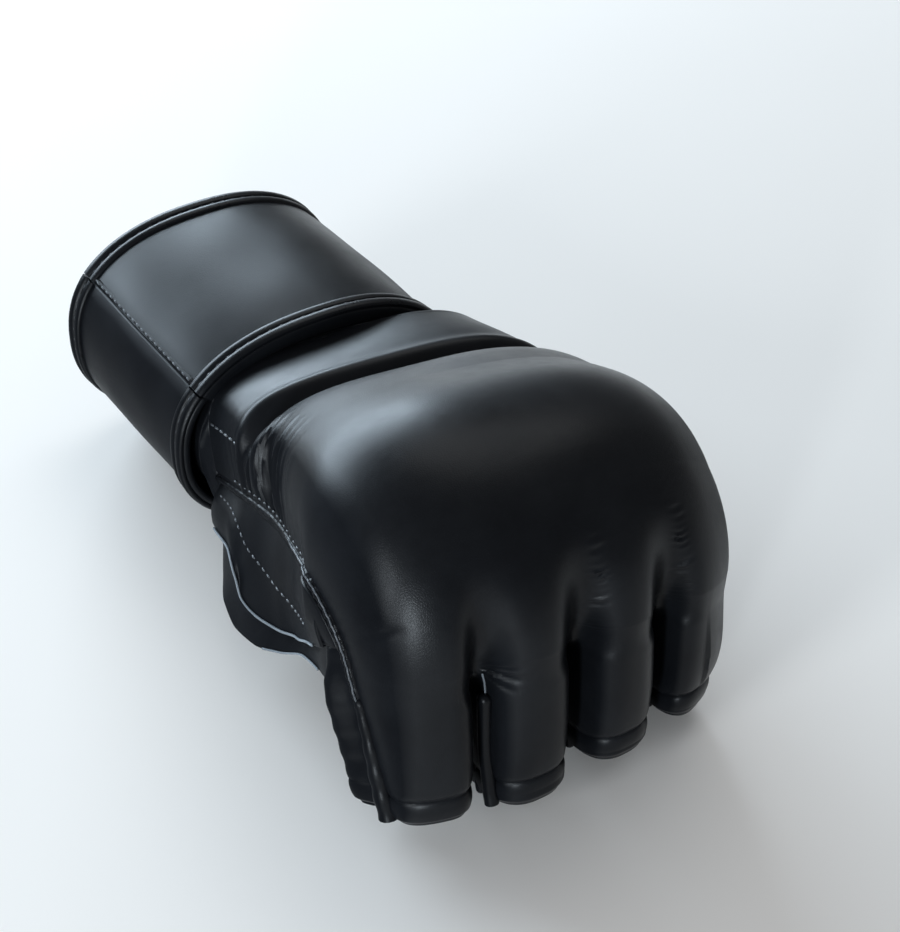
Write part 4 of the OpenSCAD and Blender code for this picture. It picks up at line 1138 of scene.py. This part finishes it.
panel_out, panel_in = (palm_panel_at(panel_k, panel_v, o) for o in (PALM_OUT, PALM_IN))
valley = np.cos(2 * np.pi * (panel_out[..., 0] - FINGER_X[1]) / VALLEY_PITCH) * ease((panel_v - 1.5) / 0.5)
middle = 1 - ease((np.abs(panel_k) - 0.5) / 0.35)
crease = 0.3 * np.sin(2 * np.pi * panel_v * 9 + 2 * panel_k) * bell(panel_v - 1.45, 0.3) * middle
panel_out = raised(panel_out, panel_in, 0.35 * valley + crease + hide_drift(panel_out, 14.0, 0.15))
palm_panel = make_piece("palm_panel_leather", [slab(panel_out, panel_in)], [BLACK])
on_body(palm_panel, "glove", "palm_panel")

# %% [markdown]
# A narrow band strengthens the edge of the thumb hole. It is padded a little, and a row of stitches along
# each edge presses a channel into it.

# %% Thumb band
BAND_SEAMS = (0.14, 0.86)
band_turn = np.radians(np.linspace(62, 235, 160))[None, :]
band_t = np.linspace(0, 1, 24)[:, None]


def thumb_band_at(t, a, o):
    """Band round the thumb hole: ovals that grow by the band's width."""
    t, a = np.broadcast_arrays(t, a)
    return palm_xy(oval(THUMB_HOLE, THUMB_HOLE_HALF + BAND_W * t[..., None], a, 2.2), o)


band_out, band_in = (thumb_band_at(band_t, band_turn, o) for o in (BAND_OUT, BAND_IN))
channels = sum(bell((band_t - at) / 0.06, 1) for at in BAND_SEAMS)
band_out = raised(band_out, band_in, 0.7 * np.sin(np.pi * band_t) - 0.35 * channels)
line_a = np.radians(np.linspace(64, 233, 260))
band_parts = [slab(band_out, band_in)]
for at in BAND_SEAMS:
    lines = [thumb_band_at(at, line_a, BAND_OUT + up) for up in (0.15, 1.2)]
    band_parts.append(stitches(*lines, 3.0, 2.2))
thumb_band = make_piece("thumb_band_leather", band_parts, [BLACK, THREAD_AND_HIGHLIGHT])
on_body(thumb_band, "glove", "thumb_band")

# %% [markdown]
# The grip bar is a stuffed roll across the finger roots that the fingers close on. Two rows of stitches
# squeeze it into three ridges. Its height is a product of two curves, one along it and one across.

# %% Grip bar
GRIP_X, GRIP_AT, GRIP_LEN, GRIP_W, GRIP_H = -5.5, 2.28, 56.0, 8.0, 2.6
GRIP_SEAM = 0.52
grip_c = np.linspace(-1, 1, 110)[None, :]
grip_r = np.linspace(-1, 1, 40)[:, None]


def grip_at(c, r, o):
    """Place on the grip bar: c along it and r across it, each from -1 to 1."""
    return palm_at(GRIP_X + c * GRIP_LEN / 2, GRIP_AT + r * GRIP_W / 2 / FINGER_RUN, o)


swell = GRIP_H * np.sqrt(np.maximum(0, 1 - grip_c**8)) * np.sqrt(1 - 0.9 * grip_r**2)
swell = swell * (1 - 0.45 * bell((np.abs(grip_r) - GRIP_SEAM) / 0.14, 1))
grip_parts = [slab(grip_at(grip_c, grip_r, BAND_IN + 0.4 + swell), grip_at(grip_c, grip_r, BAND_IN))]
line_c = np.linspace(-0.93, 0.93, 160)
for side in (-GRIP_SEAM, GRIP_SEAM):
    lines = [grip_at(line_c, side, BAND_IN + up) for up in (1.6, 2.6)]
    grip_parts.append(stitches(*lines, 3.0, 2.2))
grip_bar = make_piece("grip_bar_leather", grip_parts, [BLACK, THREAD_AND_HIGHLIGHT])
on_body(grip_bar, "glove", "grip_bar")

# %% [markdown]
# At the base of the thumb hangs a flap of two plies with raw edges. A cloth simulation could drape it, but
# the leather is stiff and its edges are known. So the plies share one curved sheet from the side seam to the
# flap's edge, and the inner one runs on past the outer one.

# %% Form of the thumb flap
FLAP_TOP = [0.05, 0.16, 0.27, 0.38, 0.49, 0.60, 0.74, 0.96, 1.32]
FLAP_EDGE = np.array([[49, 4, 43], [51.5, 22, 43], [53, 29, 39], [53, 31, 34], [52, 40, 31], [50.5, 48, 30.5],
                      [48.5, 55, 31], [50, 65, 34.5], [52.5, 82, 41]])
LINING_EDGE = np.array([[48.5, 4, 40], [52.5, 12, 32.5], [56, 19, 27.5], [57, 27, 24], [56, 37, 23.8],
                        [53.5, 48, 25], [50.5, 58, 27.5], [51.5, 68, 29], [53.5, 84, 32.5]])
FLAP_BULGE, FLAP_ROWS = 1.2, 30
flap_q = np.linspace(0, len(FLAP_TOP) - 1, 120)


def smooth_edge(points):
    """Curve through the points, each coordinate by the stations' cubic."""
    at = np.arange(len(points))
    return np.stack([through(np.stack([at, points[:, q]], -1), flap_q) for q in range(3)], -1)


def flap_sheet(depth, past):
    """Flap from the side seam to its edge, and past it to the inner ply's edge where past is true."""
    v = through(np.stack([np.arange(len(FLAP_TOP)), FLAP_TOP], -1), flap_q)
    top = place(half_w(1, v) - SEAM_TUCK, -0.5, v)
    edge, far = smooth_edge(FLAP_EDGE), smooth_edge(LINING_EDGE)
    t = np.linspace(0, 1, FLAP_ROWS)[:, None, None]
    sheet = mix(top[None], edge[None], t)
    sheet[..., 0] += FLAP_BULGE * np.sin(np.pi * t[..., 0])
    if past:
        sheet = np.concatenate([sheet, mix(edge[None], far[None], t[1:])])
    sheet[..., 0] -= depth
    return sheet


def flap_wave(sheet):
    """Soft folds of a hanging ply: two sines over its place, as a shift across the hand."""
    fold = 0.35 * np.sin(sheet[..., 1] / 3.4 + 0.12 * sheet[..., 2]) + 0.2 * np.sin(sheet[..., 2] / 2.3)
    return fold[..., None] * (0.6 * ACROSS)


print("places along the flap's edge:", len(FLAP_TOP))

# %% [markdown]
# Each ply is a slab on that sheet, and a thin bead on its cut rim shows the grey core of the leather, pale
# enough to carry a painted highlight along the rim. A slanting row of stitches crosses the outer ply. Its
# places are read off between the rows of the sheet, so that the thread lies on the leather.


# %% Plies of the thumb flap
def raw_edge_and_highlight(sheet, first, last, r, finish):
    """Thin bead on the outer rim of a ply between two stations of its edge, pale as the grey core and as a
    painted highlight.
    """
    line = sheet[-1][(flap_q >= first) & (flap_q <= last)] + 0.3 * ACROSS
    return tube(line, r, 8, finish)


flap_outer, flap_inner = flap_sheet(0.0, False), flap_sheet(LEATHER, False)
wave = flap_wave(flap_outer)
flap_skin = flap_outer + wave
row_t = mix(6.0, 24.0, (flap_q / flap_q[-1]) ** 1.2)
low_row, flap_column = row_t.astype(int), np.arange(len(flap_q))
row_above, row_below = flap_skin[low_row, flap_column], flap_skin[low_row + 1, flap_column]
stitch_row = mix(row_above, row_below, (row_t - low_row)[:, None])[4:-12]
flap_parts = [slab(flap_skin, flap_inner + wave), raw_edge_and_highlight(flap_skin, 0.2, 7.6, 0.33, 2),
              stitches(stitch_row, stitch_row + ACROSS, 2.8, 1.9, 0.28)]
thumb_flap = make_piece("thumb_flap_leather", flap_parts, [BLACK, THREAD_AND_HIGHLIGHT, CUT_EDGE_AND_HIGHLIGHT])
on_body(thumb_flap, "glove", "thumb_flap")
ply_outer, ply_inner = flap_sheet(LEATHER + GAP, True), flap_sheet(2 * LEATHER + GAP, True)
wave = flap_wave(ply_outer)
ply_parts = [slab(ply_outer + wave, ply_inner + wave), raw_edge_and_highlight(ply_outer + wave, 4.4, 7.2, 0.27, 1)]
thumb_ply = make_piece("thumb_flap_inner_ply", ply_parts, [BLACK, CUT_EDGE_AND_HIGHLIGHT])
on_body(thumb_ply, "glove", "thumb_flap_lining")

# %% [markdown]
# Between cuff and hand a plain leather ring closes the glove. Bridging two edge loops would give it flat,
# even faces. A blend from the cuff's oval to the hand's first ring takes soft gathers as well.

# %% Wrist ring
GATHERS_ROUND = 30
wrist_turn = np.linspace(0, 2 * np.pi, 160, endpoint=False)[None, :]
wrist_t = np.linspace(0, 1, 20)[:, None]


def wrist_at(t, a, inset):
    """Blend from the cuff's front oval to the ring of the hand at the wrist."""
    cuff = cuff_at(90 - np.degrees(a), -GAP / CUFF_LEN, SLEEVE_OUT + inset)
    return mix(cuff, ring_at(a, np.full(np.shape(a), 0.015), inset), t[..., None])


wrist_out, wrist_in = wrist_at(wrist_t, wrist_turn, 0.0), wrist_at(wrist_t, wrist_turn, LEATHER)
bunch = np.sin(GATHERS_ROUND * wrist_turn + 2 * np.sin(3 * wrist_turn))
gather = 0.35 * bunch * np.sin(np.pi * wrist_t)
wrist_out = raised(wrist_out, wrist_in, gather, wrap=True)
wrist_ring = make_piece("wrist_ring", [slab(wrist_out, wrist_in, wrap=True)], [BLACK])
on_body(wrist_ring, "glove", "wrist_gusset")

# %% [markdown]
# The cuff is a padded sleeve with a cloth lining. On the back of the wrist lies a padded panel, and the
# strap is sewn to it along a seam on the thumb side. All of them are grids over the angle round the cuff and
# the share of its length, so that layers at different insets keep clear of each other.

# %% Cuff
cuff_turn = np.linspace(0, 360, 200, endpoint=False)[None, :]
cuff_s = np.linspace(0, 1, 40)[:, None]


def cuff_ring(out, inside):
    """Closed sleeve of the cuff between two insets."""
    return slab(cuff_at(cuff_turn, cuff_s, out), cuff_at(cuff_turn, cuff_s, inside), wrap=True)


cuff_body = make_piece("cuff_body", [cuff_ring(SLEEVE_OUT, FOAM_IN)], [BLACK])
on_body(cuff_body, "glove", "cuff_sleeve", "cuff_foam")
LINING_OUT = FOAM_IN + GAP
cuff_lining = make_piece("cuff_lining_cloth", [cuff_ring(LINING_OUT, LINING_OUT + LINING)], [CLOTH])
on_body(cuff_lining, "glove", "cuff_lining")

# %% [markdown]
# Bindings fold over the long edges of the panel and of the strap: two rounded beads with a stitched channel
# between them. A curve with a bevel profile could follow the edge, but it would twist on the oval. Here the
# profile is given in the cuff's own terms and carried round it.

# %% Bindings
BINDING_W, BINDING_T, OVERHANG = 6.0, 1.0, 0.4
CHANNEL_AT = 0.54
bead_turn = np.linspace(0, np.pi, 9)
# points of the profile: share of the binding's width, and height in thicknesses
BEADS = np.concatenate([
    np.stack([0.27 - 0.27 * np.cos(bead_turn), 0.25 + 0.95 * np.sin(bead_turn)], -1),
    np.stack([0.77 - 0.23 * np.cos(bead_turn), 0.25 + 0.75 * np.sin(bead_turn)], -1)[1:],
    np.array([[1.0, -0.25], [0.03, -0.25]])])


def binding(first, last, edge_s, inwards, count):
    """Folded binding: the bead profile carried round the cuff; inwards is +1 or -1 along its length."""
    angle = np.linspace(first, last, count)[:, None]
    s = edge_s(angle) + inwards * (BEADS[None, :, 0] * BINDING_W - OVERHANG) / CUFF_LEN
    o = -GAP - BEADS[None, :, 1] * BINDING_T
    return loft(cuff_at(angle, s, o))


def binding_thread(first, last, edge_s, inwards):
    """Stitches in the channel between the two beads."""
    angle = np.linspace(first, last, 200)
    s = edge_s(angle) + inwards * (CHANNEL_AT * BINDING_W - OVERHANG) / CUFF_LEN
    return stitches(cuff_at(angle, s, -0.65), cuff_at(angle, s, -1.65), 3.2, 2.3, 0.3)


print("binding", BINDING_W, "mm wide, with", len(BEADS), "points round its profile")

# %% [markdown]
# The panel on the back of the wrist is crowned by the padding under it. A subdivided box would be quick to
# shape, but this grid lies on the cuff's own oval, and its edges stay under the bindings.

# %% Cuff panel
CUFF_PANEL_FROM, CUFF_PANEL_TO = STRAP_SEAM + 0.5, 360 + STRAP_END - 3


def cuff_panel(first, last, edge, thick, count, crown):
    """Panel of the cuff between two angles, crowned between its edges by a power of a sine."""
    angle = np.linspace(first, last, count)[None, :]
    s = np.linspace(0, 1, 70)[:, None] * edge(angle)
    out, inside = cuff_at(angle, s, 0.0), cuff_at(angle, s, thick)
    puff = crown * np.maximum(0, np.sin(np.pi * s / edge(angle))) ** 0.6
    return raised(out, inside, puff + hide_drift(out, 18.0, 0.12)), inside


panel_skin = cuff_panel(CUFF_PANEL_FROM, CUFF_PANEL_TO, np.ones_like, SLEEVE_OUT - GAP, 150, 0.9)
cuff_back = make_piece("cuff_back_panel", [slab(*panel_skin)], [BLACK])
on_body(cuff_back, "glove", "cuff_panel", "cuff_panel_pad")
for name, edge_s, inwards in (("front", np.zeros_like, 1), ("rear", np.ones_like, -1)):
    parts = [binding(CUFF_PANEL_FROM, CUFF_PANEL_TO, edge_s, inwards, 140),
             binding_thread(CUFF_PANEL_FROM + 1, CUFF_PANEL_TO - 1, edge_s, inwards)]
    fold = make_piece("cuff_edge_" + name, parts, [ROLLED, THREAD_AND_HIGHLIGHT])
    on_body(fold, "glove", "cuff_binding_" + name)

# %% [markdown]
# The strap leaves the panel at a stitched seam, and a narrow strip covers the seam on the panel's side. The
# strip stays on the glove when the strap opens.

# %% Seam strip
STRIP_FROM, STRIP_TO, STRIP_SEAM = STRAP_SEAM + 1, STRAP_SEAM + 2.8, STRAP_SEAM + 1.9
STRIP_S = (BINDING_W / CUFF_LEN, 1 - BINDING_W / CUFF_LEN)
strip_s = np.linspace(*STRIP_S, 60)[:, None]
strip_a = np.linspace(STRIP_FROM, STRIP_TO, 10)[None, :]
strip_lift = 0.25 * np.sin(np.pi * (strip_a - strip_a.min()) / np.ptp(strip_a))
strip_in = cuff_at(strip_a, strip_s, 0.3)
strip_out = raised(cuff_at(strip_a, strip_s, -0.75), strip_in, strip_lift)
strip_lines = [cuff_at(STRIP_SEAM, np.linspace(*STRIP_S, 120), o) for o in (-0.95, -1.95)]
strip_parts = [slab(strip_out, strip_in), stitches(*strip_lines, 2.6, 1.8, 0.28)]
seam_strip = make_piece("strap_seam_strip", strip_parts, [BLACK, THREAD_AND_HIGHLIGHT])
on_body(seam_strip, "glove", "strap_anchor")

# %% [markdown]
# The strap bends at its seam, and again at the palm, where its tip closes on the sleeve. An armature could
# bend one long sheet, but the packed model has a hinge at each place. So the strap has two halves that meet
# at the bend.

# %% Form of the strap
HOOK_MID, HOOK_HALF, HOOK_S = -95.0, 14.9, (0.14, 0.78)


def hook_frame(s, angle):
    """Stitched rectangle over the hook patch: distance in millimetres from its outline, as a bell."""
    ds = np.maximum(HOOK_S[0] - s, s - HOOK_S[1]) * CUFF_LEN
    da = (np.abs(angle - HOOK_MID) - HOOK_HALF) * np.radians(1) * CUFF_HALF[0]
    return bell(np.maximum(ds, da), 0.7)


def strap_half(first, last, count):
    """One half of the strap: a crowned slab, its stitched patch outline pressed in."""
    out, inside = cuff_panel(first, last, strap_rear, STRAP_T, count, 0.5)
    angle = np.linspace(first, last, count)[None, :]
    s = np.linspace(0, 1, 70)[:, None] * strap_rear(angle)
    return slab(raised(out, inside, -0.45 * hook_frame(s, angle)), inside)


def hinge_blend(piece, a, b, from_angle, to_angle):
    """Bake a strap piece's placement into its mesh; its ends between two angles round the cuff are worked out
    but not used. Bodies a and b are not used.
    """
    middle = strap_rear(to_angle) / 2
    start, end = (seat(cuff_at(angle, middle, 1.0)) for angle in (from_angle, to_angle))
    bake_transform(piece)


print("the strap goes", STRAP_SEAM - STRAP_END, "degrees round the cuff")

# %% [markdown]
# A stitched rectangle on the tip shows where the hook tape is sewn on. Both halves are bound along their long
# edges in the same way as the panel.

# %% Strap
PATCH_A = (HOOK_MID - HOOK_HALF, HOOK_MID + HOOK_HALF)
round_s = np.concatenate([np.linspace(*HOOK_S, 60), np.full(50, HOOK_S[1]),
                          np.linspace(*HOOK_S[::-1], 60), np.full(50, HOOK_S[0])])
round_a = np.concatenate([np.full(60, PATCH_A[0]), np.linspace(*PATCH_A, 50),
                          np.full(60, PATCH_A[1]), np.linspace(*PATCH_A[::-1], 50)])
patch_thread = stitches(*[cuff_at(round_a, round_s, o) for o in (-0.05, -1.05)], 2.8, 2.0, 0.3)

BEND_FROM, BEND_TO = 1.0, 14.0
HALVES = [("strap_side", STRAP_SEAM - 0.5, STRAP_BEND, 90, "glove", STRAP_SEAM, []),
          ("strap_tip", STRAP_BEND, STRAP_END, 120, "strap_side", STRAP_BEND, [patch_thread])]
for name, first, last, count, parent, hinge, extra in HALVES:
    bend = (parent, name, hinge - BEND_FROM, hinge - BEND_TO)
    half = make_piece(name + "_leather", [strap_half(first, last, count)] + extra, [BLACK, THREAD_AND_HIGHLIGHT])
    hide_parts(name)
    hinge_blend(half, *bend)
    folds = []
    for edge_s, inwards in ((np.zeros_like, 1), (strap_rear, -1)):
        folds.append(binding(first, last, edge_s, inwards, 110))
        folds.append(binding_thread(first - 1, last + 1, edge_s, inwards))
    edges = make_piece(name + "_edges", folds, [ROLLED, THREAD_AND_HIGHLIGHT])
    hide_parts(name + "_binding")
    hinge_blend(edges, *bend)

# %% [markdown]
# The strap closes with two tapes. The hook tape is sewn under the strap's tip and moves with it. The longer
# loop tape stays on the sleeve, so that the strap can close at several lengths. Their pile is left to the
# finish, and the tapes are thin slabs.

# %% Hook and loop patches
LOOP_S = (0.12, 0.8)


def tape(first, last, s, out, thick, count):
    """Tape patch on the cuff: a thin slab between two angles and two shares of its length."""
    angle = np.linspace(first, last, count)[None, :]
    share = np.linspace(*s, 40)[:, None]
    return slab(cuff_at(angle, share, out), cuff_at(angle, share, out + thick), roll=0.3)


hook_slab = tape(HOOK_MID + HOOK_HALF, HOOK_MID - HOOK_HALF, HOOK_S, STRAP_T + GAP, PATCH_T, 40)
hook = make_piece("hook_tape", [hook_slab], [HOOKS])
on_body(hook, "strap_tip", "hook_patch")
loop_slab = tape(STRAP_BEND - 12.5, STRAP_END + 4, LOOP_S, LOOP_OUT, PATCH_T, 70)
loop_pile = make_piece("loop_tape", [loop_slab], [LOOPS])
on_body(loop_pile, "glove", "loop_patch")

# %% [markdown]
# The stage is a pale floor. A curved sweep could hide the horizon, but the camera looks down, so a flat
# square that is far larger than the glove will do.

# %% Floor
FLOOR_HALF = 3.0


def add_floor():
    """Square floor at z = 0 with a faint mottling."""
    corner = FLOOR_HALF * np.array([[-1, -1, 0], [1, -1, 0], [1, 1, 0], [-1, 1, 0]])
    mesh = bpy.data.meshes.new("floor")
    mesh.from_pydata(corner.tolist(), [], [[0, 1, 2, 3]])
    f = Finish("pale_floor")
    f.set(Base_Color=f.colours(f.noise(6.0), (0.915, 0.865, 0.815), (0.945, 0.895, 0.845)), Roughness=0.8)
    mesh.materials.append(f.material)
    floor = bpy.data.objects.new("floor", mesh)
    bpy.context.scene.collection.objects.link(floor)


add_floor()
print("floor", 2 * FLOOR_HALF, "m wide")

# %% [markdown]
# Black leather shows little but reflections, so the lamps are large soft boxes: one behind and above for the
# broad sheen on the back, a tall one on the thumb side for the line along the knuckle pad's shoulder, a
# narrow strip in front for the streaks down the fingers, and a weak fill from above. A picture of a studio
# could light it too, but boxes can be moved one by one.

# %% Lamps and sky
WORLD_COLOUR, WORLD_STRENGTH = (0.9, 0.94, 1.0, 1), 0.2


def add_lamp(name, at, aim, size, power, colour):
    """Rectangular soft box at a place, facing its aim."""
    data = bpy.data.lights.new(name, "AREA")
    data.shape = "RECTANGLE"
    data.size, data.size_y = size
    data.energy = power
    data.color = colour
    lamp = bpy.data.objects.new(name, data)
    back = np.array(at, float) - np.array(aim, float)
    back /= np.linalg.norm(back)
    right = np.cross([0, 0, 1.0], back)
    right /= np.linalg.norm(right)
    axes = np.eye(4)
    axes[:3, 0], axes[:3, 1], axes[:3, 2], axes[:3, 3] = right, np.cross(back, right), back, at
    lamp.matrix_world = axes.T.tolist()
    lamp.visible_camera = False
    bpy.context.scene.collection.objects.link(lamp)


add_lamp("back_box", (0.25, -1.45, 0.5), (0, 0, 0.12), (1.8, 0.7), 49, (0.72, 0.87, 1.0))
add_lamp("thumb_box", (1.22, 0.44, 0.38), (0, 0.05, 0.06), (0.3, 0.7), 9, (0.85, 0.93, 1.0))
add_lamp("front_strip", (0.92, 0.95, 0.2), (0, 0.08, 0.06), (0.12, 0.4), 9, (0.82, 0.92, 1.0))
add_lamp("top_box", (-0.75, -0.75, 1.6), (0, 0, 0.0), (1.4, 1.0), 8, (0.95, 0.98, 1.0))
world = bpy.data.worlds.new("studio")
world.use_nodes = True
sky = world.node_tree.nodes["Background"]
sky.inputs["Color"].default_value = WORLD_COLOUR
sky.inputs["Strength"].default_value = WORLD_STRENGTH
bpy.context.scene.world = world
bpy.context.scene.view_settings.view_transform = "Standard"
print("lamps:", [light.name for light in bpy.data.lights])

# %% [markdown]
# The box of the dressed glove and the box of the bare solids should agree to about a millimetre, because the
# leather was drawn on the same form.
